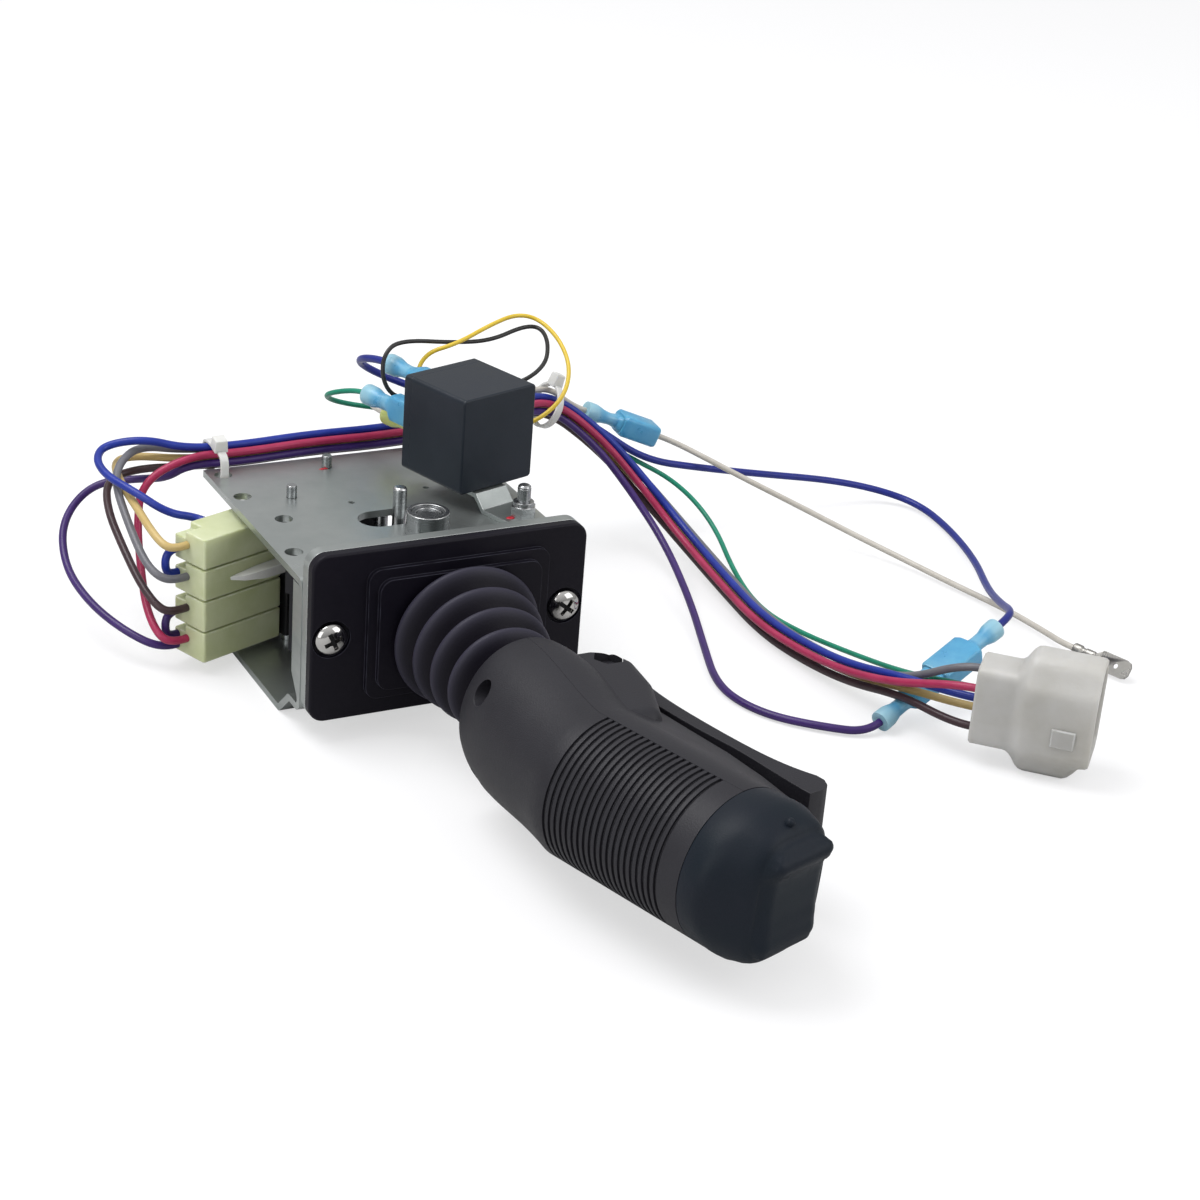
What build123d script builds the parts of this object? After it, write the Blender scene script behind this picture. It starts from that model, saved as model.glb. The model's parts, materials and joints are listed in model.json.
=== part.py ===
from build123d import *
import os
from math import cos, pi, radians, sin, tan

# An industrial joystick: a bent sheet chassis with a front plate, a rubber bezel and bellows,
# a swinging lever with a pistol grip, a stack of four snap switches, a cube relay on a tab,
# and a tied wire harness that ends in a plug.
# X runs along the bezel's width, Y goes back from the bezel into the chassis, and Z is up.
# The origin is midway between the panel screws, on the front plate's front face.

# Face of the joystick
face_width = 86.4
face_height = 52.4
face_corner_r = 5.0
plate_thickness = 3.8
bezel_thickness = 3.4
bezel_panel_width = 57.0
bezel_panel_height = 41.0
bezel_panel_x = 2.0
bezel_inner_width = 51.0
bezel_inner_height = 35.0
bezel_step = 1.5
panel_corner_r = 4.0
bezel_edge_r = 0.8
window_width = 40.0
window_height = 34.0

# Screws through the face
panel_screw_pitch = 74.0
panel_screw_d = 5.0
panel_hole_d = 5.4
panel_head_d = 10.0
panel_head_h = 3.4
panel_recess_d = 11.6
panel_recess_depth = 1.2
panel_nut_flats = 8.0
panel_nut_h = 3.2
panel_screw_tail = 1.4
drive_width = 1.1
drive_length = 5.4
drive_depth = 1.8
drive_turns = (20, 110)
head_edge_r = 1.5

# Chassis sheet
sheet = 2.2
chassis_half_width = 43.4
chassis_back_y = 90.0
top_z = 16.2
step_bottom_z = -26.2
floor_z = -33.6
step_start_y = 12.6
step_end_y = 20.6
bend_r = 2.1
return_depth = 7.0
return_slit = 0.4
return_foot_z = -22.0
return_cut = 6.5
spare_hole_d = 5.5
spare_holes = [(-38.6, 23.3), (-32.9, 46.9), (-38.9, 66.6), (-38.8, 84.5)]
pilot_hole_d = 2.0
pilot_holes = [(-8.9, 52.7), (17.5, 57.0)]

# Lever pivot
pivot_y = 15.7
lever_z = -4.5
shaft_d = 6.9
shaft_clearance = 0.05
shaft_collar_d = 9.2
bearing_d = 10.0
bearing_wall_gap = 0.02
bearing_length = 6.2
boss_d = 12.7
boss_top_z = 27.4
boss_bearing_recess = 0.6
shaft_recess = 1.0
spigot_d = 11.6
lower_boss_top_z = -17.0
axial_gap = 0.3
hub_d = 20.0
hub_top_z = 5.0
neck_d = 17.0
neck_reach = 17.0
stem_d = 12.0
stem_gap = 0.02
stem_root = 5.0

# Centring pin, spring and post
pin_radius_from_pivot = 21.0
pin_d = 4.2
pin_top_z = 26.7
arm_half_width = 5.0
arm_thickness = 5.0
arm_end_radius = 25.0
slot_y = 38.6
slot_height = 11.8
slot_length = 24.4
spring_wire_d = 1.7
spring_leg_d = 1.5
spring_coil_r = 6.4
spring_coil_z = 7.2
spring_turns = 3
spring_leg_gap = 1.0
post_y = 50.0
post_d = 4.0
post_length = 8.4
pin_edge = 0.5

# Cam drum that passes in front of the switch plungers
cam_r = 43.5
cam_wall = 3.0
cam_lobe = 1.5
cam_web_bottom_z = -12.0
cam_web_thickness = 4.0
cam_bottom_z = -28.0
cam_top_z = 10.0
cam_start_angle = 85.0
cam_end_angle = 135.0
cam_lobe_angle = 14.0
cam_lobe_lift = 1.5
cam_lobe_layers = 1.8

# Snap switch stack
switch_x = -15.25
switch_y = 71.85
switch_turn = 21.0
switch_length = 31.0
switch_width = 16.0
switch_pitch = 10.3
switch_gap = 0.06
switch_count = 4
stack_bottom_z = -29.3
switch_screw_u = 12.4
switch_screw_v = 5.75
switch_screw_d = 3.0
switch_screw_hole_d = 3.2
switch_screw_end_z = 20.2
switch_corner_r = 0.6
screw_cone_h = 1.4
spacer_d = 5.4
blade_reach = 8.0
blade_height = 4.8
blade_thickness = 0.8
blade_offset = 3.6
plunger_d = 3.2
plunger_gap = 0.1
plunger_depth = 3.0
plunger_travel = 0.8
plunger_cam_gap = 0.3

# Plugs on the switches
switch_plug_length = 30.5
switch_plug_width = 14.0
switch_plug_height = 9.7
switch_plug_left = -47.5
switch_plug_step_length = 6.0
switch_plug_step = 2.2
switch_plug_corner_r = 0.8
switch_plug_slot_end = 1.0
wire_front_v = 1.0
wire_back_v = 5.4
wire_entry_rise = 0.8
wire_low_rise = -1.6
wire_lowest_rise = -2.7
side_entry_u = -35.0
side_entry_z = 9.6
side_entry_out = 4.5

# Relay on its tab
relay_x = 29.0
relay_y = 52.8
relay_turn = 17.0
relay_width = 29.1
relay_depth = 27.9
relay_height = 30.5
relay_base_z = 21.8
relay_wall = 1.2
relay_corner_r = 1.4
relay_base_thickness = 3.4
relay_core_d = 14.0
relay_core_length = 17.0
relay_blade_length = 9.0
relay_blade_width = 6.3
relay_blade_pitch = 8.5
tab_thickness = 1.5
tab_width = 12.4
tab_centre_u = -3.0
tab_foot_end = 6.2
tab_bend_v = -18.5
tab_rise_v = -14.8
tab_back_v = 6.0
stud_x = 35.4
stud_y = 24.4
stud_d = 4.0
stud_hole_d = 4.3
stud_top_z = 28.0
stud_head_flats = 7.0
stud_head_h = 2.6
nut_flats = 7.0
nut_h = 5.0
nut_collar_d = 6.4
nut_collar_h = 1.4

# Grip
kink_y = -97.0
grip_tilt = 17.0
grip_r = 21.3
knuckle_end_y = -53.0
grip_cavity_r = 18.3
cavity_start = 3.0
deck_start = 47.5
deck_thickness = 2.8
seam_s = 51.2
stem_end_y = -89.0
rib_first_s = 3.6
rib_pitch = 2.12
rib_count = 20
rib_depth = 0.8
rib_width = 1.0
cheek_half_width = 17.0
cheek_edge_r = 4.5
slot_half_width = 8.9
trigger_pin_x = 21.5
trigger_pin_y = -61.0
trigger_pin_d = 3.0
trigger_half_width = 8.5
trigger_pin_inset = 3.9
trigger_pocket_flats = 8.0
trigger_pocket_depth = 3.4
land_half_width = 9.0
land_root = 10.0
land_root_half_width = 18.6
trigger_lug_r = 4.6
trigger_spring_y = -86.0
trigger_spring_r = 2.6
trigger_spring_wire_d = 1.0
trigger_spring_coils = 6
trigger_spring_start_x = 19.6
trigger_spring_end_x = 30.3
trigger_spring_pocket_r = 3.5
grip_screw_y = -62.5
grip_screw_z = 8.5
grip_screw_low_z = -17.5
grip_screw_d = 3.0
grip_head_d = 5.8
grip_head_h = 2.4
grip_head_x = -8.5
grip_head_pocket_d = 6.6
grip_nut_x = 9.0
grip_nut_flats = 5.5
grip_nut_h = 2.4
grip_nut_pocket_gap = 0.2

# Thumb rocker and its boot
boot_shoulder_s = 56.5
boot_mid_s = 63.0
boot_top_s = 73.0
boot_mid_width = 29.0
boot_mid_height = 37.0
boot_top_width = 21.0
boot_top_height = 25.0
boot_mid_corner_r = 12.0
boot_top_corner_r = 6.0
boot_collar_flat = 0.1
boot_wall = 1.5
boot_valley_r = 14.0
boot_valley_depth = 3.0
rocker_axle_s = 60.0
rocker_axle_d = 4.0
rocker_half_width = 7.0
rocker_half_height = 9.5
rocker_bottom_s = 57.0
rocker_top_s = 68.0
rocker_corner_r = 1.5
ear_thickness = 3.0
ear_half_height = 4.0
ear_gap = 0.5
axle_gap = 0.05
grip_switch_size = 6.0
grip_switch_height = 3.6
grip_switch_button_d = 3.2
grip_switch_button_h = 1.2
grip_switch_z = 7.0

# Bellows, as distance along its axis and radius of each ring
bellows_start = (3.0, -6.4, -2.0)
bellows_end = (1.5, -52.0, -4.5)
bellows_neck_r = 18.2
bellows_neck_length = 6.0
bellows_rings = [(3.2, 22.5), (12.3, 20.4), (21.4, 18.7), (30.5, 17.0), (39.6, 15.2)]
bellows_fold = 4.6
bellows_wall = 1.4
bellows_end_r = 12.4
bellows_gap = 0.8
bellows_lift = 0.9

# Wires
wire_d = 2.5
thin_d = 1.4
green_d = 1.7
white_d = 2.0
arc_share = 0.45
jumper_reach = 4.7
jumper_straight = 2.4
jumper_drop = 1.7
blade_wire_gap = 0.1

# Harness plug, upright on the surface
plug_face = (141.3, -71.7)
plug_turn = -45.0
plug_bottom_z = -33.6
plug_block_length = 12.0
plug_block_width = 15.0
plug_block_bottom_z = -28.0
plug_block_top_z = -3.0
plug_shroud_length = 24.0
plug_shroud_width = 24.0
plug_shroud_height = 31.0
plug_lobe_width = 13.0
plug_lobe_height = 39.0
plug_wall = 1.6
plug_cavity_depth = 20.0
plug_block_corner_r = 1.2
plug_corner_r = 3.0
plug_cavity_corner_r = 2.0

# Push-on terminals
flare_r = 3.4
waist_r = 2.5
flare_length = 6.5
waist_length = 6.0
housing_width = 8.6
housing_height = 5.4
housing_length = 11.0
housing_corner_r = 0.6
relay_terminal_gap = 1.0
blade_slot_gap = 0.4
pair_start = Vector(122.4, -51.4, -30.0)
pair_end = Vector(172.9, -36.3, -13.0)
splice_start = Vector(104.5, 118.5, 10.0)
splice_end = Vector(130.5, 115.5, -0.5)

# Bare tab at the end of the white wire
tab_start = Vector(212.0, -29.0, -29.6)
tab_axis = Vector(0.3, -0.95, 0.0).normalized()
crimp_length = 9.0
crimp_r = 1.9
bare_tab_width = 6.35
bare_tab_length = 12.0
bare_tab_hole_d = 1.8
bare_tab_root = 1.0
bare_tab_hole_along = 7.2

# Cable ties
tie_width = 2.6
tie_thickness = 1.0
tie_head = 4.6
tie_inner_r = 7.0
tie_shift = 1.2
edge_tie_hole_reach = 1.2
edge_tie_back_y = 100.6
edge_tie_slack = 0.7
edge_tie_top_z = 23.0
edge_tie_corner_r = 2.4

# Stations along the middle of the wire bundle, from the first tie to the plug
bundle = [
    (-47.0, 96.4, 18.4),
    (-30.0, 95.6, 18.0),
    (-6.0, 96.8, 18.5),
    (18.0, 96.6, 18.1),
    (44.0, 98.0, 18.8),
    (66.0, 102.5, 19.4),
    (86.0, 112.0, 18.0),
    (104.0, 106.0, 4.0),
    (118.0, 99.0, -12.0),
    (126.0, 79.0, -25.0),
    (125.0, 49.0, -28.8),
    (121.5, 19.0, -29.0),
    (123.5, -4.0, -28.6),
    (126.0, -27.0, -25.8),
    (129.5, -50.0, -19.6),
]
tie_station = 6


def face_plane(y, x=0.0, z=0.0):
    """Plane facing the operator, at depth y, with its own X along the bezel."""
    return Plane(origin=(x, y, z), x_dir=(1, 0, 0), z_dir=(0, -1, 0))


def polar(radius, angle):
    """Point at a radius and an angle in degrees about the lever's pivot."""
    return (radius * cos(radians(angle)), pivot_y + radius * sin(radians(angle)))


# Chassis bracket: one strip of sheet bent into top, front wall and stepped floor
half_sheet = sheet / 2
wall_mid_y = plate_thickness + half_sheet
with BuildPart() as bent_sheet:
    with BuildSketch(Plane.YZ):
        with BuildLine():
            FilletPolyline(
                (chassis_back_y, top_z - half_sheet),
                (wall_mid_y, top_z - half_sheet),
                (wall_mid_y, step_bottom_z + half_sheet),
                (step_start_y, step_bottom_z + half_sheet),
                (step_end_y, floor_z + half_sheet),
                (chassis_back_y, floor_z + half_sheet),
                radius=bend_r,
            )
        trace(line_width=sheet)
    extrude(amount=chassis_half_width, both=True)
    with BuildSketch(Plane.YZ.offset(chassis_half_width - sheet)):
        with BuildLine():
            Polyline(
                (plate_thickness, top_z - sheet - return_slit),
                (plate_thickness + return_depth, top_z - sheet - return_slit),
                (plate_thickness + return_depth, return_foot_z + return_cut),
                (plate_thickness + sheet, return_foot_z),
                (plate_thickness, return_foot_z),
                close=True,
            )
        make_face()
    extrude(amount=sheet)
    mirror(about=Plane.YZ)
    with BuildSketch(face_plane(plate_thickness + sheet, z=lever_z)):
        RectangleRounded(window_width, window_height, face_corner_r)
    extrude(amount=sheet, mode=Mode.SUBTRACT)
    with BuildSketch(face_plane(plate_thickness + sheet)):
        with GridLocations(panel_screw_pitch, 0, 2, 1):
            Circle(panel_hole_d / 2)
    extrude(amount=sheet, mode=Mode.SUBTRACT)
    with BuildSketch(Plane.XY.offset(top_z)):
        with Locations(*spare_holes):
            Circle(spare_hole_d / 2)
        with Locations(*pilot_holes):
            Circle(pilot_hole_d / 2)
        with Locations((0, pivot_y)):
            Circle(spigot_d / 2)
        with Locations((0, slot_y)):
            SlotOverall(slot_length, slot_height)
        with Locations((stud_x, stud_y)):
            Circle(stud_hole_d / 2)
    extrude(amount=-sheet, mode=Mode.SUBTRACT)

# Switch frame: u runs along the switches and v across them
switch_plane = Plane(
    origin=(switch_x, switch_y, 0),
    x_dir=(cos(radians(switch_turn)), sin(radians(switch_turn)), 0),
    z_dir=(0, 0, 1),
)
switch_screw_places = [(-switch_screw_u, -switch_screw_v), (switch_screw_u, switch_screw_v)]

with BuildPart() as chassis_bracket:
    add(bent_sheet.part)
    with BuildSketch(switch_plane.offset(floor_z)):
        with Locations(*switch_screw_places):
            Circle(switch_screw_hole_d / 2)
    extrude(amount=top_z - floor_z, mode=Mode.SUBTRACT)
    with Locations(switch_plane.offset(floor_z)):
        with Locations(*switch_screw_places):
            Cone(
                spacer_d / 2 + bearing_wall_gap,
                switch_screw_hole_d / 2,
                screw_cone_h,
                align=(Align.CENTER, Align.CENTER, Align.MIN),
                mode=Mode.SUBTRACT,
            )
chassis_bracket.part.label = "chassis_bracket"
os.makedirs("parts", exist_ok=True)
export_step(chassis_bracket.part, "parts/chassis_bracket.step")

# Front plate
with BuildPart() as front_plate:
    with BuildSketch(face_plane(plate_thickness)):
        RectangleRounded(face_width, face_height, face_corner_r)
        with GridLocations(panel_screw_pitch, 0, 2, 1):
            Circle(panel_hole_d / 2, mode=Mode.SUBTRACT)
        with Locations((0, lever_z)):
            RectangleRounded(window_width, window_height, face_corner_r, mode=Mode.SUBTRACT)
    extrude(amount=plate_thickness)
front_plate.part.label = "front_plate"
export_step(front_plate.part, "parts/front_plate.step")

# Rubber bezel with two raised panels around the bellows opening
bezel_face_y = -bezel_thickness
bezel_top_y = bezel_face_y - 2 * bezel_step
opening_r = bellows_neck_r + bellows_gap
with BuildPart() as boot_bezel:
    with BuildSketch(face_plane(0)):
        RectangleRounded(face_width, face_height, face_corner_r)
    extrude(amount=bezel_thickness)
    fillet(boot_bezel.faces().sort_by(Axis.Y)[0].edges(), bezel_edge_r)
    with BuildSketch(face_plane(bezel_face_y)):
        with Locations((bezel_panel_x, 0)):
            RectangleRounded(bezel_panel_width, bezel_panel_height, panel_corner_r)
    extrude(amount=bezel_step)
    with BuildSketch(face_plane(bezel_face_y - bezel_step)):
        with Locations((bezel_panel_x, 0)):
            RectangleRounded(bezel_inner_width, bezel_inner_height, panel_corner_r)
    extrude(amount=bezel_step)
    with BuildSketch(face_plane(bezel_top_y)):
        with Locations((bellows_start[0], bellows_start[2])):
            Circle(opening_r)
    extrude(amount=bezel_top_y, mode=Mode.SUBTRACT)
    with BuildSketch(face_plane(bezel_face_y)):
        with GridLocations(panel_screw_pitch, 0, 2, 1):
            Circle(panel_hole_d / 2)
    extrude(amount=-bezel_thickness, mode=Mode.SUBTRACT)
    with BuildSketch(face_plane(bezel_face_y)):
        with GridLocations(panel_screw_pitch, 0, 2, 1):
            Circle(panel_recess_d / 2)
    extrude(amount=-panel_recess_depth, mode=Mode.SUBTRACT)
boot_bezel.part.label = "boot_bezel"
export_step(boot_bezel.part, "parts/boot_bezel.step")

# Bellows: a ribbed rubber tube around the stem
bellows_axis = (Vector(*bellows_end) - Vector(*bellows_start)).normalized()
bellows_length = (Vector(*bellows_end) - Vector(*bellows_start)).length
bellows_plane = Plane(
    origin=bellows_start,
    x_dir=bellows_axis,
    z_dir=bellows_axis.cross(Vector(0, 0, 1)),
)
bellows_outline = [(-bellows_neck_length, bellows_neck_r), (bellows_lift, bellows_neck_r)]
for here, after in zip(bellows_rings, bellows_rings[1:]):
    bellows_outline.append(here)
    bellows_outline.append(((here[0] + after[0]) / 2, (here[1] + after[1]) / 2 - bellows_fold))
bellows_outline.append(bellows_rings[-1])
bellows_outline.append(((bellows_rings[-1][0] + bellows_length) / 2, bellows_end_r))
bellows_outline.append((bellows_length, bellows_end_r))
bellows_inside = [(along, radius - bellows_wall) for along, radius in reversed(bellows_outline)]
with BuildPart() as bellows_boot:
    with BuildSketch(bellows_plane):
        with BuildLine():
            Polyline(*bellows_outline, *bellows_inside, close=True)
        make_face()
    revolve(axis=Axis(bellows_start, bellows_axis))
bellows_boot.part.label = "bellows_boot"
export_step(bellows_boot.part, "parts/bellows_boot.step")

# Panel screws with pan heads and cross recesses
head_seat_y = bezel_face_y + panel_recess_depth
screw_end_y = plate_thickness + sheet + panel_nut_h + panel_screw_tail
with BuildPart() as panel_screws:
    with BuildSketch(face_plane(head_seat_y)):
        with GridLocations(panel_screw_pitch, 0, 2, 1):
            Circle(panel_head_d / 2)
    extrude(amount=panel_head_h)
    fillet(panel_screws.faces().sort_by(Axis.Y)[0:2].edges(), head_edge_r)
    with BuildSketch(face_plane(screw_end_y)):
        with GridLocations(panel_screw_pitch, 0, 2, 1):
            Circle(panel_screw_d / 2)
    extrude(amount=screw_end_y - head_seat_y)
    with BuildSketch(face_plane(head_seat_y - panel_head_h)):
        with GridLocations(panel_screw_pitch, 0, 2, 1):
            for drive_turn in drive_turns:
                Rectangle(drive_length, drive_width, rotation=drive_turn)
    extrude(amount=-drive_depth, mode=Mode.SUBTRACT)
panel_screws.part.label = "panel_screws"
export_step(panel_screws.part, "parts/panel_screws.step")

with BuildPart() as panel_nuts:
    with BuildSketch(face_plane(plate_thickness + sheet + panel_nut_h)):
        with GridLocations(panel_screw_pitch, 0, 2, 1):
            RegularPolygon(panel_nut_flats / 2, 6, major_radius=False, rotation=30)
            Circle(panel_screw_d / 2 + bearing_wall_gap, mode=Mode.SUBTRACT)
    extrude(amount=panel_nut_h)
panel_nuts.part.label = "panel_nuts"
export_step(panel_nuts.part, "parts/panel_nuts.step")

# Pivot bosses with their needle bearings
bearing_bore_d = bearing_d + 2 * bearing_wall_gap
upper_bearing_top_z = boss_top_z - boss_bearing_recess
upper_bearing_z = upper_bearing_top_z - bearing_length
lower_bearing_z = lower_boss_top_z - bearing_length
with BuildPart() as pivot_boss_top:
    with BuildSketch(Plane.XY.offset(top_z)):
        with Locations((0, pivot_y)):
            Circle(boss_d / 2)
    extrude(amount=boss_top_z - top_z)
    with BuildSketch(Plane.XY.offset(top_z - sheet)):
        with Locations((0, pivot_y)):
            Circle(spigot_d / 2)
    extrude(amount=sheet)
    with BuildSketch(Plane.XY.offset(top_z - sheet)):
        with Locations((0, pivot_y)):
            Circle(shaft_collar_d / 2)
    extrude(amount=boss_top_z - top_z + sheet, mode=Mode.SUBTRACT)
    with BuildSketch(Plane.XY.offset(upper_bearing_z)):
        with Locations((0, pivot_y)):
            Circle(bearing_bore_d / 2)
    extrude(amount=boss_top_z - upper_bearing_z, mode=Mode.SUBTRACT)
pivot_boss_top.part.label = "pivot_boss_top"
export_step(pivot_boss_top.part, "parts/pivot_boss_top.step")

with BuildPart() as lower_boss_blank:
    with BuildSketch(Plane.XY.offset(floor_z + sheet)):
        with Locations((0, pivot_y)):
            Circle(boss_d / 2)
    extrude(amount=lower_boss_top_z - floor_z - sheet)
    with BuildSketch(Plane.XY.offset(lower_bearing_z)):
        with Locations((0, pivot_y)):
            Circle(bearing_bore_d / 2)
    extrude(amount=bearing_length, mode=Mode.SUBTRACT)
    add(bent_sheet.part, mode=Mode.SUBTRACT)

with BuildPart() as pivot_boss_bottom:
    add(lower_boss_blank.part.solids().sort_by(Axis.Z)[-1])
pivot_boss_bottom.part.label = "pivot_boss_bottom"
export_step(pivot_boss_bottom.part, "parts/pivot_boss_bottom.step")

with BuildPart() as needle_bearings:
    for bearing_z in (upper_bearing_z, lower_bearing_z):
        with BuildSketch(Plane.XY.offset(bearing_z)):
            with Locations((0, pivot_y)):
                Circle(bearing_d / 2)
                Circle(shaft_d / 2 + shaft_clearance, mode=Mode.SUBTRACT)
        extrude(amount=bearing_length)
needle_bearings.part.label = "needle_bearings"
export_step(needle_bearings.part, "parts/needle_bearings.step")

# Pivot shaft with the collar that the centring spring sits around
shaft_bottom_z = lower_bearing_z + axial_gap
shaft_top_z = boss_top_z - shaft_recess
collar_top_z = top_z - sheet - axial_gap
with BuildPart() as pivot_shaft:
    with BuildSketch(Plane.XY.offset(shaft_bottom_z)):
        with Locations((0, pivot_y)):
            Circle(shaft_d / 2)
    extrude(amount=shaft_top_z - shaft_bottom_z)
    with BuildSketch(Plane.XY.offset(hub_top_z)):
        with Locations((0, pivot_y)):
            Circle(shaft_collar_d / 2)
    extrude(amount=collar_top_z - hub_top_z)
pivot_shaft.part.label = "pivot_shaft"
export_step(pivot_shaft.part, "parts/pivot_shaft.step")

# Lever hub: neck for the stem, rear arm for the pin, web and cam drum
hub_bottom_z = lower_boss_top_z + axial_gap
stem_root_y = pivot_y - stem_root
with BuildPart() as lever_hub:
    with BuildSketch(Plane.XY.offset(hub_bottom_z)):
        with Locations((0, pivot_y)):
            Circle(hub_d / 2)
    extrude(amount=hub_top_z - hub_bottom_z)
    with BuildSketch(face_plane(pivot_y, z=lever_z)):
        Circle(neck_d / 2)
    extrude(amount=neck_reach)
    with BuildSketch(Plane.XY.offset(hub_top_z - arm_thickness)):
        with Locations((0, pivot_y + arm_end_radius / 2)):
            Rectangle(2 * arm_half_width, arm_end_radius)
    extrude(amount=arm_thickness)
    with BuildSketch(Plane.XY.offset(cam_web_bottom_z)):
        with BuildLine():
            Line((0, pivot_y), polar(cam_r, cam_start_angle))
            RadiusArc(polar(cam_r, cam_start_angle), polar(cam_r, cam_end_angle), -cam_r)
            Line(polar(cam_r, cam_end_angle), (0, pivot_y))
        make_face()
    extrude(amount=cam_web_thickness)
    with BuildSketch(Plane.XY.offset(cam_bottom_z)):
        with BuildLine():
            RadiusArc(polar(cam_r, cam_start_angle), polar(cam_r, cam_end_angle), -cam_r)
            Line(polar(cam_r, cam_end_angle), polar(cam_r - cam_wall, cam_end_angle))
            RadiusArc(
                polar(cam_r - cam_wall, cam_end_angle),
                polar(cam_r - cam_wall, cam_start_angle),
                cam_r - cam_wall,
            )
            Line(polar(cam_r - cam_wall, cam_start_angle), polar(cam_r, cam_start_angle))
        make_face()
    extrude(amount=cam_top_z - cam_bottom_z)
    for lobe_z, lobe_angle in (
        (stack_bottom_z + cam_lobe_lift, cam_start_angle),
        (stack_bottom_z + 2 * switch_pitch, cam_end_angle - cam_lobe_angle),
    ):
        with BuildSketch(Plane.XY.offset(lobe_z)):
            with BuildLine():
                RadiusArc(
                    polar(cam_r + cam_lobe, lobe_angle),
                    polar(cam_r + cam_lobe, lobe_angle + cam_lobe_angle),
                    -(cam_r + cam_lobe),
                )
                Line(
                    polar(cam_r + cam_lobe, lobe_angle + cam_lobe_angle),
                    polar(cam_r - cam_wall / 2, lobe_angle + cam_lobe_angle),
                )
                RadiusArc(
                    polar(cam_r - cam_wall / 2, lobe_angle + cam_lobe_angle),
                    polar(cam_r - cam_wall / 2, lobe_angle),
                    cam_r - cam_wall / 2,
                )
                Line(
                    polar(cam_r - cam_wall / 2, lobe_angle),
                    polar(cam_r + cam_lobe, lobe_angle),
                )
            make_face()
        extrude(amount=cam_lobe_layers * switch_pitch)
    with BuildSketch(Plane.XY.offset(cam_bottom_z)):
        with Locations((0, pivot_y)):
            Circle(shaft_d / 2 + bearing_wall_gap)
    extrude(amount=cam_top_z - cam_bottom_z, mode=Mode.SUBTRACT)
    with BuildSketch(Plane.XY.offset(hub_top_z - arm_thickness)):
        with Locations((0, pivot_y + pin_radius_from_pivot)):
            Circle(pin_d / 2 + bearing_wall_gap)
    extrude(amount=arm_thickness, mode=Mode.SUBTRACT)
    with BuildSketch(face_plane(stem_root_y, z=lever_z)):
        Circle(stem_d / 2 + stem_gap)
    extrude(amount=neck_reach, mode=Mode.SUBTRACT)
lever_hub.part.label = "lever_hub"
export_step(lever_hub.part, "parts/lever_hub.step")

# Centring pin on the rear arm, spring around the collar and fixed post
with BuildPart() as spring_pin:
    with BuildSketch(Plane.XY.offset(hub_top_z - arm_thickness)):
        with Locations((0, pivot_y + pin_radius_from_pivot)):
            Circle(pin_d / 2)
    extrude(amount=pin_top_z - hub_top_z + arm_thickness)
    chamfer(spring_pin.faces().sort_by(Axis.Z)[-1].edges(), pin_edge)
spring_pin.part.label = "spring_pin"
export_step(spring_pin.part, "parts/spring_pin.step")

coil_pitch = 0.9 * spring_wire_d
leg_end_x = post_d / 2 + spring_wire_d / 2 + spring_leg_gap
leg_reach = post_y - pivot_y + post_d
leg_start_x = spring_coil_r
with BuildPart() as centring_spring:
    with BuildSketch(Plane.XZ.offset(-pivot_y)):
        for turn in range(spring_turns):
            with Locations((spring_coil_r, spring_coil_z + turn * coil_pitch)):
                Circle(spring_wire_d / 2)
    revolve(axis=Axis((0, pivot_y, 0), (0, 0, 1)))
    for side, leg_z in ((-1, spring_coil_z), (1, spring_coil_z + (spring_turns - 1) * coil_pitch)):
        leg_start = Vector(side * leg_start_x, pivot_y, leg_z)
        leg_end = Vector(side * leg_end_x, pivot_y + leg_reach, leg_z)
        with BuildSketch(Plane(origin=leg_start, z_dir=leg_end - leg_start)):
            Circle(spring_leg_d / 2)
        extrude(amount=(leg_end - leg_start).length)
centring_spring.part.label = "centring_spring"
export_step(centring_spring.part, "parts/centring_spring.step")

with BuildPart() as spring_post:
    with BuildSketch(Plane.XY.offset(top_z - sheet)):
        with Locations((0, post_y)):
            Circle(post_d / 2)
    extrude(amount=-post_length)
spring_post.part.label = "spring_post"
export_step(spring_post.part, "parts/spring_post.step")

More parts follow.
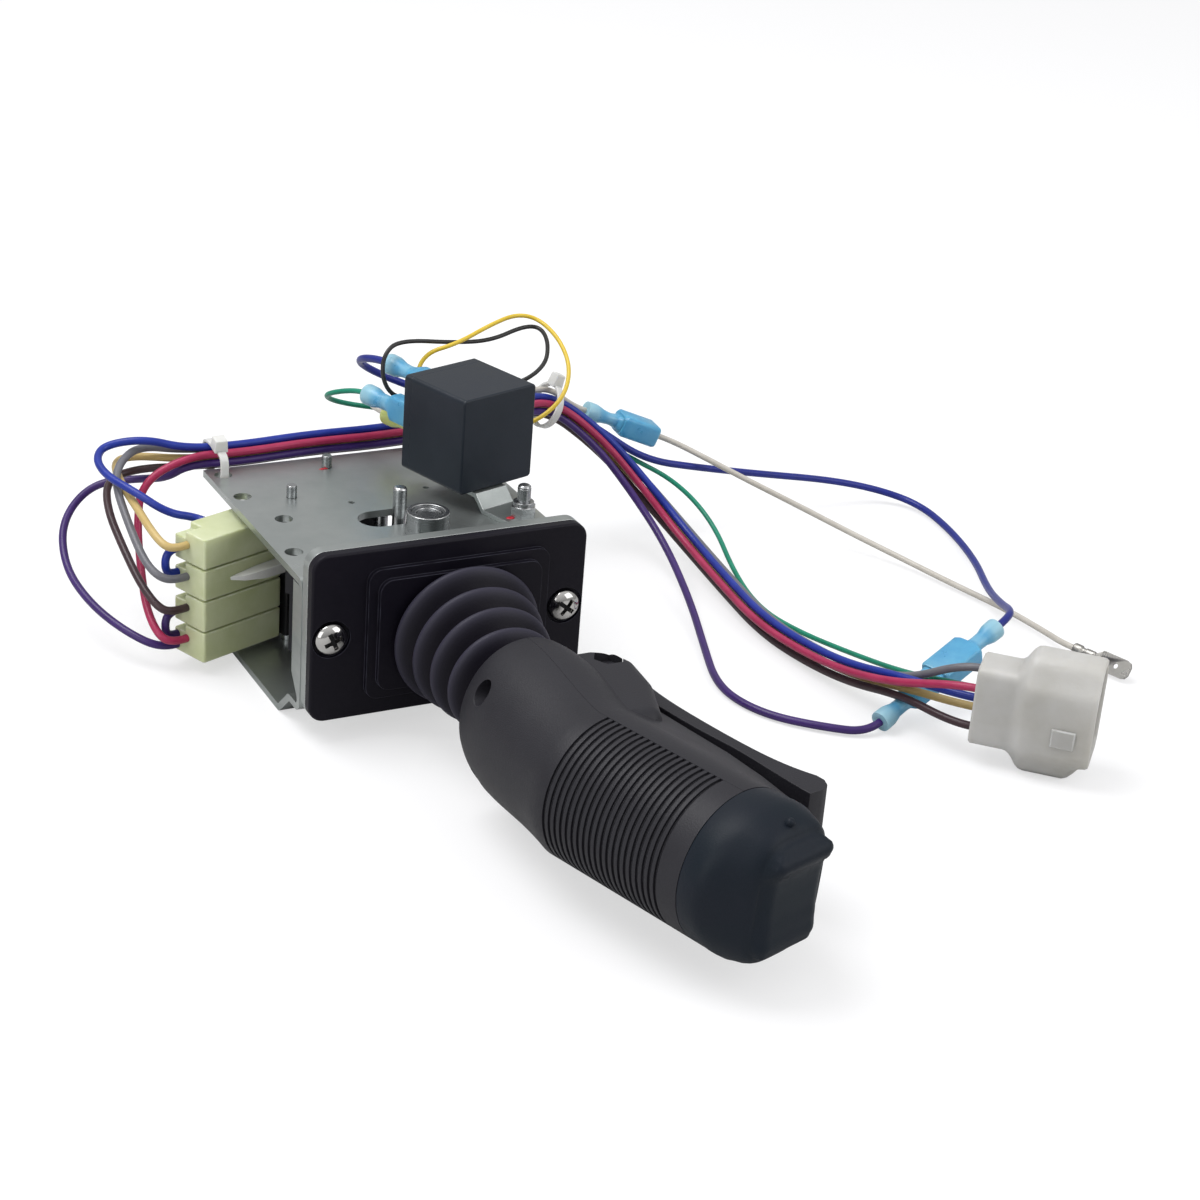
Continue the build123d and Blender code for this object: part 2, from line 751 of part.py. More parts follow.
# Snap switches: the plungers point at the pivot
pivot_in_stack = switch_plane.to_local_coords(Vector(0, pivot_y, 0))
plunger_u = pivot_in_stack.X
plunger_tip_v = pivot_in_stack.Y + cam_r + cam_lobe + plunger_cam_gap
plunger_root_v = -switch_width / 2 + plunger_depth
switch_height = switch_pitch - switch_gap
for layer in range(switch_count):
    layer_z = stack_bottom_z + layer * switch_pitch
    layer_mid_z = layer_z + switch_height / 2
    with BuildPart() as microswitch:
        with BuildSketch(switch_plane.offset(layer_z)):
            RectangleRounded(switch_length, switch_width, switch_corner_r)
            with Locations(*switch_screw_places):
                Circle(switch_screw_hole_d / 2, mode=Mode.SUBTRACT)
        extrude(amount=switch_height)
        with BuildSketch(switch_plane.offset(layer_mid_z - blade_height / 2)):
            for blade_v in (-blade_offset, blade_offset):
                with Locations((-switch_length / 2 - blade_reach / 2, blade_v)):
                    Rectangle(blade_reach, blade_thickness)
        extrude(amount=blade_height)
        bore_plane = Plane(
            origin=switch_plane.from_local_coords((plunger_u, -switch_width / 2, layer_mid_z)),
            x_dir=switch_plane.x_dir,
            z_dir=switch_plane.y_dir,
        )
        with BuildSketch(bore_plane):
            Circle(plunger_d / 2 + plunger_gap)
        extrude(amount=plunger_depth + 2 * plunger_travel, mode=Mode.SUBTRACT)
    microswitch.part.label = f"microswitch_{layer + 1}"
    export_step(microswitch.part, f"parts/microswitch_{layer + 1}.step")

    with BuildPart() as switch_plug:
        plug_mid_u = switch_plug_left + switch_plug_length / 2
        with BuildSketch(switch_plane.offset(layer_mid_z - switch_plug_height / 2)):
            with Locations((plug_mid_u, 0)):
                RectangleRounded(switch_plug_length, switch_plug_width, switch_plug_corner_r)
        extrude(amount=switch_plug_height)
        with BuildSketch(switch_plane.offset(layer_mid_z + switch_plug_height / 2)):
            with Locations((switch_plug_left + switch_plug_step_length / 2, wire_back_v)):
                Rectangle(switch_plug_step_length, switch_plug_width / 2)
        extrude(amount=-switch_plug_step, mode=Mode.SUBTRACT)
        with BuildSketch(switch_plane.offset(layer_mid_z - blade_height / 2 - plunger_gap)):
            for blade_v in (-blade_offset, blade_offset):
                with Locations((-switch_length / 2 - blade_reach / 2, blade_v)):
                    Rectangle(blade_reach + switch_plug_slot_end, blade_thickness + 4 * plunger_gap)
        extrude(amount=blade_height + 2 * plunger_gap, mode=Mode.SUBTRACT)
    switch_plug.part.label = f"switch_plug_{layer + 1}"
    export_step(switch_plug.part, f"parts/switch_plug_{layer + 1}.step")

for label, layers in (("reverse_plungers", (0, 1)), ("forward_plungers", (2, 3))):
    with BuildPart() as plungers:
        for layer in layers:
            plunger_z = stack_bottom_z + layer * switch_pitch + switch_height / 2
            root = switch_plane.from_local_coords((plunger_u, plunger_root_v, plunger_z))
            with BuildSketch(Plane(origin=root, x_dir=switch_plane.x_dir, z_dir=-switch_plane.y_dir)):
                Circle(plunger_d / 2)
            extrude(amount=plunger_root_v - plunger_tip_v)
    plungers.part.label = label
    export_step(plungers.part, f"parts/{label}.step")

# Stack screws with countersunk heads, and spacers above and below the stack
stack_top_z = stack_bottom_z + switch_count * switch_pitch - switch_gap
screw_head_z = floor_z + bearing_wall_gap
with BuildPart() as switch_screws:
    with BuildSketch(switch_plane.offset(screw_head_z)):
        with Locations(*switch_screw_places):
            Circle(switch_screw_d / 2)
    extrude(amount=switch_screw_end_z - screw_head_z)
    with Locations(switch_plane.offset(screw_head_z)):
        with Locations(*switch_screw_places):
            Cone(
                spacer_d / 2,
                switch_screw_d / 2,
                screw_cone_h - 2 * bearing_wall_gap,
                align=(Align.CENTER, Align.CENTER, Align.MIN),
            )
    for spacer_z, spacer_top_z in (
        (floor_z + sheet, stack_bottom_z),
        (stack_top_z, top_z - sheet),
    ):
        with BuildSketch(switch_plane.offset(spacer_z)):
            with Locations(*switch_screw_places):
                Circle(spacer_d / 2)
        extrude(amount=spacer_top_z - spacer_z)
switch_screws.part.label = "switch_screws"
export_step(switch_screws.part, "parts/switch_screws.step")

# Relay lying on its side: u runs along its width and v towards its blades
relay_plane = Plane(
    origin=(relay_x, relay_y, 0),
    x_dir=(cos(radians(relay_turn)), sin(radians(relay_turn)), 0),
    z_dir=(0, 0, 1),
)
relay_back_v = relay_depth / 2
relay_seam_v = relay_back_v - relay_base_thickness
relay_mid_z = relay_base_z + relay_height / 2


def relay_face(v, z=relay_mid_z, u=0.0):
    """Plane across the relay at v, facing its blades, with its own Y up."""
    return Plane(
        origin=relay_plane.from_local_coords((u, v, z)),
        x_dir=-relay_plane.x_dir,
        z_dir=relay_plane.y_dir,
    )


with BuildPart() as relay_cover:
    with BuildSketch(relay_face(-relay_back_v)):
        RectangleRounded(relay_width, relay_height, relay_corner_r)
    extrude(amount=relay_seam_v + relay_back_v)
    fillet(relay_cover.faces().sort_by(Axis.Y)[0].edges(), relay_corner_r / 2)
    with BuildSketch(relay_face(-relay_back_v + relay_wall)):
        Rectangle(relay_width - 2 * relay_wall, relay_height - 2 * relay_wall)
    extrude(amount=relay_depth, mode=Mode.SUBTRACT)
relay_cover.part.label = "relay_cover"
export_step(relay_cover.part, "parts/relay_cover.step")

with BuildPart() as relay_base:
    with BuildSketch(relay_face(relay_seam_v)):
        RectangleRounded(relay_width, relay_height, relay_corner_r)
    extrude(amount=relay_base_thickness)
    with BuildSketch(relay_face(relay_seam_v)):
        Circle(relay_core_d / 2)
    extrude(amount=-relay_core_length)
relay_base.part.label = "relay_base"
export_step(relay_base.part, "parts/relay_base.step")

# Blade places across the relay's base, as u, z from the middle and whether it stands upright
relay_blade_places = [
    (0.0, relay_blade_pitch, False),
    (0.0, -relay_blade_pitch, False),
    (0.0, 0.0, False),
    (-relay_blade_pitch, 0.0, True),
    (relay_blade_pitch, 0.0, True),
]
with BuildPart() as relay_blades:
    for blade_u, blade_z, upright in relay_blade_places:
        with BuildSketch(relay_face(relay_back_v, relay_mid_z + blade_z, blade_u)):
            Rectangle(
                blade_thickness if upright else relay_blade_width,
                relay_blade_width if upright else blade_thickness,
            )
        extrude(amount=relay_blade_length)
relay_blades.part.label = "relay_blades"
export_step(relay_blades.part, "parts/relay_blades.step")

# Relay tab: foot under the nut, riser and shelf under the relay
stud_in_relay = relay_plane.to_local_coords(Vector(stud_x, stud_y, 0))
tab_foot_z = top_z + tab_thickness / 2
tab_shelf_z = relay_base_z - tab_thickness / 2
tab_plane = Plane(
    origin=relay_plane.from_local_coords((tab_centre_u, 0, 0)),
    x_dir=relay_plane.y_dir,
    z_dir=relay_plane.x_dir,
)
with BuildPart() as relay_bracket:
    with BuildSketch(tab_plane):
        with BuildLine():
            Polyline(
                (stud_in_relay.Y - tab_foot_end, tab_foot_z),
                (tab_bend_v, tab_foot_z),
                (tab_rise_v, tab_shelf_z),
                (tab_back_v, tab_shelf_z),
            )
        trace(line_width=tab_thickness)
    extrude(amount=tab_width / 2, both=True)
    with BuildSketch(Plane.XY.offset(top_z)):
        with Locations((stud_x, stud_y)):
            Circle(stud_hole_d / 2)
    extrude(amount=tab_thickness, mode=Mode.SUBTRACT)
relay_bracket.part.label = "relay_bracket"
export_step(relay_bracket.part, "parts/relay_bracket.step")

with BuildPart() as relay_screw:
    with BuildSketch(Plane.XY.offset(top_z - sheet)):
        with Locations((stud_x, stud_y)):
            Circle(stud_d / 2)
    extrude(amount=stud_top_z - top_z + sheet)
    chamfer(relay_screw.faces().sort_by(Axis.Z)[-1].edges(), pin_edge)
    with BuildSketch(Plane.XY.offset(top_z - sheet)):
        with Locations((stud_x, stud_y)):
            RegularPolygon(stud_head_flats / 2, 6, major_radius=False)
    extrude(amount=-stud_head_h)
relay_screw.part.label = "relay_screw"
export_step(relay_screw.part, "parts/relay_screw.step")

nut_z = top_z + tab_thickness
with BuildPart() as relay_nut:
    with BuildSketch(Plane.XY.offset(nut_z)):
        with Locations((stud_x, stud_y)):
            RegularPolygon(nut_flats / 2, 6, major_radius=False)
    extrude(amount=nut_h - nut_collar_h)
    with BuildSketch(Plane.XY.offset(nut_z + nut_h - nut_collar_h)):
        with Locations((stud_x, stud_y)):
            Circle(nut_collar_d / 2)
    extrude(amount=nut_collar_h)
    with BuildSketch(Plane.XY.offset(nut_z)):
        with Locations((stud_x, stud_y)):
            Circle(stud_d / 2 + bearing_wall_gap)
    extrude(amount=nut_h, mode=Mode.SUBTRACT)
relay_nut.part.label = "relay_nut"
export_step(relay_nut.part, "parts/relay_nut.step")

# Lever stem
with BuildPart() as lever_stem:
    with BuildSketch(face_plane(stem_root_y, z=lever_z)):
        Circle(stem_d / 2)
    extrude(amount=stem_root_y - stem_end_y)
lever_stem.part.label = "lever_stem"
export_step(lever_stem.part, "parts/lever_stem.step")

# Grip: a knuckle around the stem, then a barrel that bends towards +X at the kink
tilt_sin = sin(radians(grip_tilt))
tilt_cos = cos(radians(grip_tilt))


def grip_plane(s):
    """Plane across the barrel at s from the kink, with its own Y up."""
    return Plane(
        origin=(s * tilt_sin, kink_y - s * tilt_cos, lever_z),
        x_dir=(tilt_cos, tilt_sin, 0),
        z_dir=(tilt_sin, -tilt_cos, 0),
    )


def grip_point(t, s, up=0.0):
    """Point at t across, s along and up from the barrel's axis."""
    return grip_plane(s).from_local_coords((t, up, 0))


knuckle_sections = [(knuckle_end_y, 19.0, 22.4), (-59.5, 20.6, 23.2), (-76.0, 21.2, 22.4)]
cheek_outline = [
    (4.0, -53.5), (19.0, -53.5), (26.0, -57.0), (28.4, -64.0), (27.2, -77.0), (21.0, -95.0), (4.0, -95.0),
]
trigger_slot_outline = [
    (15.2, -50.0), (15.2, -67.0), (24.6, -68.2), (27.2, -77.4), (30.3, -92.8),
    (31.5, -98.0), (40.0, -98.0), (40.0, -50.0),
]
# Land in front of the barrel that the trigger closes on: place along the barrel and reach
land_sections = [(-14.0, 31.4), (5.0, 29.9), (20.0, 28.9), (34.4, 26.8), (46.0, 24.2), (50.6, 21.4)]
with BuildPart() as cheeks:
    with BuildSketch(Plane.XY.offset(lever_z)):
        Polygon(*cheek_outline, align=None)
    extrude(amount=cheek_half_width, both=True)
    fillet(cheeks.edges(), cheek_edge_r)

with BuildPart() as land:
    for section_s, reach in land_sections:
        with BuildSketch(grip_plane(section_s)):
            Polygon(
                (0, land_root_half_width), (land_root, land_root_half_width),
                (reach, land_half_width), (reach, -land_half_width),
                (land_root, -land_root_half_width), (0, -land_root_half_width),
                align=None,
            )
    loft(ruled=True)

with BuildPart() as grip_body:
    for section_y, half_width, half_height in knuckle_sections:
        with BuildSketch(face_plane(section_y, z=lever_z)):
            Ellipse(half_width, half_height)
    with BuildSketch(grip_plane(0)):
        Circle(grip_r)
    loft()
    with BuildSketch(grip_plane(0)):
        Circle(grip_r)
    extrude(amount=seam_s)
    add(cheeks.part)
    add(land.part)
    with BuildSketch(grip_plane(cavity_start)):
        Circle(grip_cavity_r)
    extrude(amount=deck_start - cavity_start, mode=Mode.SUBTRACT)
    with BuildSketch(grip_plane(deck_start + deck_thickness)):
        Circle(grip_cavity_r)
    extrude(amount=seam_s, mode=Mode.SUBTRACT)
    for ear_side in (-1, 1):
        with BuildSketch(grip_plane(deck_start)):
            with Locations((ear_side * (rocker_half_width + ear_gap + ear_thickness / 2), 0)):
                Rectangle(ear_thickness, 2 * ear_half_height)
        extrude(amount=rocker_axle_s + ear_half_height - deck_start)
    axle_start = grip_point(-grip_cavity_r, rocker_axle_s)
    with BuildSketch(Plane(origin=axle_start, z_dir=(tilt_cos, tilt_sin, 0))):
        Circle(rocker_axle_d / 2 + axle_gap)
    extrude(amount=2 * grip_cavity_r, mode=Mode.SUBTRACT)
    with BuildSketch(face_plane(knuckle_end_y, z=lever_z)):
        Circle(stem_d / 2 + stem_gap)
    extrude(amount=knuckle_end_y - stem_end_y, mode=Mode.SUBTRACT)
    with BuildSketch(Plane.XY.offset(lever_z)):
        Polygon(*trigger_slot_outline, align=None)
    extrude(amount=slot_half_width, both=True, mode=Mode.SUBTRACT)
    with BuildSketch(Plane.XY.offset(lever_z)):
        with Locations((trigger_pin_x, trigger_pin_y)):
            Circle(trigger_pin_d / 2 + bearing_wall_gap)
    extrude(amount=cheek_half_width, both=True, mode=Mode.SUBTRACT)
    for pocket_side in (-1, 1):
        with BuildSketch(Plane.XY.offset(lever_z + pocket_side * (cheek_half_width - trigger_pocket_depth))):
            with Locations((trigger_pin_x, trigger_pin_y)):
                RegularPolygon(trigger_pocket_flats / 2, 6, major_radius=False)
        extrude(amount=pocket_side * grip_r, mode=Mode.SUBTRACT)
    with BuildSketch(Plane.YZ.offset(trigger_spring_start_x)):
        with Locations((trigger_spring_y, lever_z)):
            Circle(trigger_spring_pocket_r)
    extrude(amount=grip_r, mode=Mode.SUBTRACT)
    for screw_z in (grip_screw_z, grip_screw_low_z):
        with BuildSketch(Plane.YZ.offset(-2 * grip_r)):
            with Locations((grip_screw_y, screw_z)):
                Circle(grip_screw_d / 2 + bearing_wall_gap)
        extrude(amount=4 * grip_r, mode=Mode.SUBTRACT)
        with BuildSketch(Plane.YZ.offset(grip_head_x)):
            with Locations((grip_screw_y, screw_z)):
                Circle(grip_head_pocket_d / 2)
        extrude(amount=-2 * grip_r, mode=Mode.SUBTRACT)
        with BuildSketch(Plane.YZ.offset(grip_nut_x)):
            with Locations((grip_screw_y, screw_z)):
                RegularPolygon(grip_nut_flats / 2 + grip_nut_pocket_gap, 6, major_radius=False)
        extrude(amount=2 * grip_r, mode=Mode.SUBTRACT)

# Region on the -X side of the split, which holds the stem's and the barrel's axes
split_far = grip_point(0, boot_top_s)
split_reach = 4 * grip_r
with BuildPart() as rear_region:
    with BuildSketch(Plane.XY.offset(lever_z - split_reach)):
        Polygon(
            (0, 0), (0, kink_y), (split_far.X, split_far.Y),
            (-split_reach, split_far.Y), (-split_reach, 0),
            align=None,
        )
    extrude(amount=2 * split_reach)

with BuildPart() as grip_rear:
    add(grip_body.part)
    add(rear_region.part, mode=Mode.INTERSECT)
    for rib in range(rib_count):
        with BuildSketch(grip_plane(rib_first_s + rib * rib_pitch - rib_width / 2)):
            Circle(grip_r + rib_depth)
            Circle(grip_r - rib_depth, mode=Mode.SUBTRACT)
        extrude(amount=rib_width, mode=Mode.SUBTRACT)
grip_rear.part.label = "grip_rear"
export_step(grip_rear.part, "parts/grip_rear.step")

with BuildPart() as grip_front:
    add(grip_body.part)
    add(rear_region.part, mode=Mode.SUBTRACT)
grip_front.part.label = "grip_front"
export_step(grip_front.part, "parts/grip_front.step")

with BuildPart() as grip_screws:
    for screw_z in (grip_screw_z, grip_screw_low_z):
        with BuildSketch(Plane.YZ.offset(grip_head_x)):
            with Locations((grip_screw_y, screw_z)):
                Circle(grip_screw_d / 2)
        extrude(amount=grip_nut_x + grip_nut_h - grip_head_x)
        with BuildSketch(Plane.YZ.offset(grip_head_x)):
            with Locations((grip_screw_y, screw_z)):
                Circle(grip_head_d / 2)
        extrude(amount=-grip_head_h)
        with BuildSketch(Plane.YZ.offset(grip_nut_x)):
            with Locations((grip_screw_y, screw_z)):
                RegularPolygon(grip_nut_flats / 2, 6, major_radius=False)
        extrude(amount=grip_nut_h)
grip_screws.part.label = "grip_screws"
export_step(grip_screws.part, "parts/grip_screws.step")

# Trigger bar with its pin and return spring
trigger_outside = [
    (32.5, -59.5), (32.9, -70.2), (36.0, -86.6), (40.3, -102.9), (44.7, -115.6), (50.2, -125.6),
]
trigger_inside = [
    (43.4, -133.4), (40.4, -121.0), (37.3, -106.7), (32.9, -92.2), (29.1, -77.0), (26.0, -67.0),
]
with BuildPart() as trigger:
    with BuildSketch(Plane.XY.offset(lever_z)):
        with BuildLine():
            Polyline((26.0, -67.0), (18.6, -65.2), (17.0, -60.0), (20.0, -56.4), (28.5, -56.2), (32.5, -59.5))
            Spline(*trigger_outside)
            Polyline(trigger_outside[-1], (50.9, -128.4), (50.2, -131.0), (47.6, -132.8), trigger_inside[0])
            Spline(*trigger_inside)
        make_face()
    extrude(amount=trigger_half_width, both=True)
    with BuildSketch(Plane.XY.offset(lever_z)):
        with Locations((trigger_pin_x, trigger_pin_y)):
            Circle(trigger_pin_d / 2 + shaft_clearance)
    extrude(amount=trigger_half_width, both=True, mode=Mode.SUBTRACT)
trigger.part.label = "trigger"
export_step(trigger.part, "parts/trigger.step")

with BuildPart() as trigger_pin:
    with BuildSketch(Plane.XY.offset(lever_z)):
        with Locations((trigger_pin_x, trigger_pin_y)):
            Circle(trigger_pin_d / 2)
    extrude(amount=cheek_half_width - trigger_pin_inset, both=True)
trigger_pin.part.label = "trigger_pin"
export_step(trigger_pin.part, "parts/trigger_pin.step")

spring_pitch = (trigger_spring_end_x - trigger_spring_start_x) / trigger_spring_coils
with BuildPart() as trigger_spring:
    with BuildSketch(Plane.XY.offset(lever_z)):
        for coil in range(trigger_spring_coils):
            coil_x = trigger_spring_start_x + (coil + 0.5) * spring_pitch
            with Locations((coil_x, trigger_spring_y + trigger_spring_r)):
                Rectangle(spring_pitch, trigger_spring_wire_d / 2)
                Circle(trigger_spring_wire_d / 2)
    revolve(axis=Axis((0, trigger_spring_y, lever_z), (1, 0, 0)))
trigger_spring.part.label = "trigger_spring"
export_step(trigger_spring.part, "parts/trigger_spring.step")

# Thumb rocker on its axle, the switches under it and the rubber boot over it
with BuildPart() as thumb_rocker:
    with BuildSketch(grip_plane(rocker_bottom_s)):
        RectangleRounded(2 * rocker_half_width, 2 * rocker_half_height, rocker_corner_r)
    extrude(amount=rocker_top_s - rocker_bottom_s)
    axle_start = grip_point(-rocker_half_width - ear_gap - ear_thickness, rocker_axle_s)
    with BuildSketch(Plane(origin=axle_start, z_dir=(tilt_cos, tilt_sin, 0))):
        Circle(rocker_axle_d / 2)
    extrude(amount=2 * (rocker_half_width + ear_gap + ear_thickness))
thumb_rocker.part.label = "thumb_rocker"
export_step(thumb_rocker.part, "parts/thumb_rocker.step")

with BuildPart() as grip_switches:
    with BuildSketch(grip_plane(deck_start + deck_thickness)):
        with GridLocations(0, 2 * grip_switch_z, 1, 2):
            Rectangle(grip_switch_size, grip_switch_size)
    extrude(amount=grip_switch_height)
    with BuildSketch(grip_plane(deck_start + deck_thickness + grip_switch_height)):
        with GridLocations(0, 2 * grip_switch_z, 1, 2):
            Circle(grip_switch_button_d / 2)
    extrude(amount=grip_switch_button_h)
grip_switches.part.label = "grip_switches"
export_step(grip_switches.part, "parts/grip_switches.step")


def boot_shape(inset):
    """Solid under the boot's surface, drawn in by the inset."""
    collar = 2 * (grip_r - inset)
    with BuildPart() as shape:
        with BuildSketch(grip_plane(seam_s)):
            RectangleRounded(collar, collar, collar / 2 - boot_collar_flat)
        extrude(amount=boot_shoulder_s - seam_s)
        with BuildSketch(grip_plane(boot_shoulder_s)):
            RectangleRounded(collar, collar, collar / 2 - boot_collar_flat)
        with BuildSketch(grip_plane(boot_mid_s)):
            RectangleRounded(
                boot_mid_width - 2 * inset, boot_mid_height - 2 * inset, boot_mid_corner_r - inset,
            )
        with BuildSketch(grip_plane(boot_top_s - inset)):
            RectangleRounded(
                boot_top_width - 2 * inset, boot_top_height - 2 * inset, boot_top_corner_r - inset,
            )
        loft(ruled=True)
        valley_s = boot_top_s - boot_valley_depth + boot_valley_r
        valley_start = grip_point(-grip_r, valley_s)
        with BuildSketch(Plane(origin=valley_start, z_dir=(tilt_cos, tilt_sin, 0))):
            Circle(boot_valley_r + inset)
        extrude(amount=2 * grip_r, mode=Mode.SUBTRACT)
    return shape.part


boot_outside = boot_shape(0)
boot_inside = boot_shape(boot_wall)
with BuildPart() as rocker_boot:
    add(boot_outside)
    add(boot_inside, mode=Mode.SUBTRACT)
rocker_boot.part.label = "rocker_boot"
export_step(rocker_boot.part, "parts/rocker_boot.step")

# Harness plug: a wire-side block and a taller shroud, upright on the surface
plug_plane = Plane(
    origin=(plug_face[0], plug_face[1], 0),
    x_dir=(cos(radians(plug_turn)), sin(radians(plug_turn)), 0),
    z_dir=(0, 0, 1),
)


def plug_section(along, z):
    """Upright plane across the plug, facing away from the wires."""
    return Plane(
        origin=plug_plane.from_local_coords((along, 0, z)),
        x_dir=-plug_plane.y_dir,
        z_dir=plug_plane.x_dir,
    )


lobe_mid_z = plug_bottom_z + plug_lobe_height / 2
block_mid_z = (plug_block_bottom_z + plug_block_top_z) / 2
cavity_start_along = plug_block_length + plug_shroud_length - plug_cavity_depth
with BuildPart() as plug_housing:
    with BuildSketch(plug_section(0, block_mid_z)):
        RectangleRounded(plug_block_width, plug_block_top_z - plug_block_bottom_z, plug_block_corner_r)
    extrude(amount=plug_block_length)
    with BuildSketch(plug_section(plug_block_length, lobe_mid_z)):
        RectangleRounded(plug_shroud_width, plug_shroud_height, plug_corner_r)
        RectangleRounded(plug_lobe_width, plug_lobe_height, plug_corner_r)
    extrude(amount=plug_shroud_length)
    with BuildSketch(plug_section(cavity_start_along, lobe_mid_z)):
        RectangleRounded(
            plug_shroud_width - 2 * plug_wall, plug_shroud_height - 2 * plug_wall, plug_cavity_corner_r,
        )
        RectangleRounded(
            plug_lobe_width - 2 * plug_wall, plug_lobe_height - 2 * plug_wall, plug_cavity_corner_r,
        )
    extrude(amount=plug_cavity_depth, mode=Mode.SUBTRACT)
plug_housing.part.label = "plug_housing"
export_step(plug_housing.part, "parts/plug_housing.step")

# Insulated push-on terminals: a flared wire end, a waist and a flat housing


def terminal_plane(start, towards):
    """Plane at a wire end, with its own X level and its Z along the terminal."""
    return Plane(origin=start, x_dir=towards.cross(Vector(0, 0, 1)), z_dir=towards)


def terminal(plane, length):
    """Terminal with its flared wire end on the plane and a flat housing of the given length."""
    with BuildPart() as shape:
        with BuildSketch(plane):
            Circle(flare_r)
        with BuildSketch(plane.offset(flare_length)):
            Circle(waist_r)
        loft()
        with BuildSketch(plane.offset(flare_length)):
            Circle(waist_r)
        extrude(amount=waist_length)
        with BuildSketch(plane.offset(flare_length + waist_length)):
            RectangleRounded(housing_width, housing_height, housing_corner_r)
        extrude(amount=length)
    return shape.part


def on_relay(u, v, z):
    """Point in the relay's own frame."""
    return relay_plane.from_local_coords((u, v, z))


def relay_terminal(blade_u, blade_z, upright):
    """Terminal pushed onto one relay blade, lined up with it."""
    length = flare_length + waist_length + housing_length
    start_v = relay_back_v + relay_terminal_gap + length
    plane = Plane(
        origin=on_relay(blade_u, start_v, blade_z),
        x_dir=relay_plane.x_dir if not upright else (0, 0, 1),
        z_dir=-relay_plane.y_dir,
    )
    body = terminal(plane, housing_length)
    with BuildPart() as shape:
        add(body)
        with BuildSketch(plane.offset(length)):
            Rectangle(relay_blade_width + blade_slot_gap, blade_thickness + blade_slot_gap)
        extrude(amount=-relay_blade_length, mode=Mode.SUBTRACT)
    return shape.part


terminal_reach = relay_back_v + relay_terminal_gap + flare_length + waist_length + housing_length
upper_terminal = relay_terminal(0.0, relay_mid_z + relay_blade_pitch, False)
left_terminal = relay_terminal(-relay_blade_pitch, relay_mid_z, True)
with BuildPart() as relay_terminals:
    add(upper_terminal)
    add(left_terminal)
relay_terminals.part.label = "relay_terminals"
export_step(relay_terminals.part, "parts/relay_terminals.step")

lower_terminal = relay_terminal(0.0, relay_mid_z - relay_blade_pitch, False)
with BuildPart() as relay_terminal_yellow:
    add(lower_terminal)
relay_terminal_yellow.part.label = "relay_terminal_yellow"
export_step(relay_terminal_yellow.part, "parts/relay_terminal_yellow.step")

# Mated pair on the harness branch and the splice on the white wire
pair_axis = (pair_end - pair_start).normalized()
pair_half = (pair_end - pair_start).length / 2
pair_housing = pair_half - flare_length - waist_length
pair_low = terminal(terminal_plane(pair_start, pair_axis), pair_housing)
pair_high = terminal(terminal_plane(pair_end, -pair_axis), pair_housing)
with BuildPart() as branch_terminals:
    add(pair_low)
    add(pair_high)
branch_terminals.part.label = "branch_terminals"
export_step(branch_terminals.part, "parts/branch_terminals.step")

splice_axis = (splice_end - splice_start).normalized()
splice_housing = (splice_end - splice_start).length - flare_length - waist_length
splice = terminal(terminal_plane(splice_start, splice_axis), splice_housing)
with BuildPart() as splice_terminals:
    add(splice)
splice_terminals.part.label = "splice_terminals"
export_step(splice_terminals.part, "parts/splice_terminals.step")

# Bare tab terminal at the end of the white wire
tab_plane_start = Plane(origin=tab_start, x_dir=tab_axis, z_dir=(0, 0, 1))
with BuildPart() as tab_terminal:
    with BuildSketch(Plane(origin=tab_start, z_dir=tab_axis)):
        Circle(crimp_r)
    extrude(amount=crimp_length)
    with BuildSketch(tab_plane_start.offset(-blade_thickness / 2)):
        with Locations((crimp_length + bare_tab_length / 2 - bare_tab_root, 0)):
            Rectangle(bare_tab_length + 2 * bare_tab_root, bare_tab_width)
        with Locations((crimp_length + bare_tab_hole_along, 0)):
            Circle(bare_tab_hole_d / 2, mode=Mode.SUBTRACT)
    extrude(amount=blade_thickness)
tab_terminal.part.label = "tab_terminal"
export_step(tab_terminal.part, "parts/tab_terminal.step")

def strand(first, last, near, up):
    """Points of one wire of the bundle, at its place across the bundle's section."""
    points = []
    for station in range(first, last + 1):
        before = Vector(*bundle[max(station - 1, 0)])
        after = Vector(*bundle[min(station + 1, len(bundle) - 1)])
        side = (after - before).cross(Vector(0, 0, 1)).normalized()
        lift = side.cross(after - before).normalized()
        points.append(Vector(*bundle[station]) + side * near + lift * up)
    return points


def at_switch_plug(layer, across, out=0.0, rise=wire_entry_rise):
    """Wire entry on the end of a switch plug; layers count from the top."""
    layer_z = stack_bottom_z + (switch_count - layer) * switch_pitch + switch_height / 2
    return switch_plane.from_local_coords((switch_plug_left - out, across, layer_z + rise))


def at_plug(near, z, out=0.0):
    """Wire entry on the harness plug's wire-side face."""
    return plug_plane.from_local_coords((-out, -near, z))


def corner_radii(points):
    """Radius of each corner, as large as its two runs allow."""
    radii = []
    for before, corner, after in zip(points, points[1:], points[2:]):
        run_in = Vector(corner) - Vector(before)
        run_out = Vector(after) - Vector(corner)
        turn = radians(run_in.get_angle(run_out))
        radii.append(arc_share * min(run_in.length, run_out.length) / tan(turn / 2))
    return radii


def wire_run(label, points, diameter):
    """One stretch of wire: straight runs joined by tangent arcs."""
    points = [Vector(point) for point in points]
    radii = corner_radii(points)
    with BuildPart() as run:
        with BuildLine() as path:
            FilletPolyline(*points, radius=radii)
        with BuildSketch(Plane(origin=path.line @ 0, z_dir=path.line % 0)):
            Circle(diameter / 2)
        sweep()
    length = path.wire().length
    expected = pi * diameter**2 / 4 * length
    print(
        f"{label}: length {length:.1f}, smallest radius {min(radii):.1f},"
        f" volume over section times length {run.part.volume / expected:.4f}"
    )
    return run.part


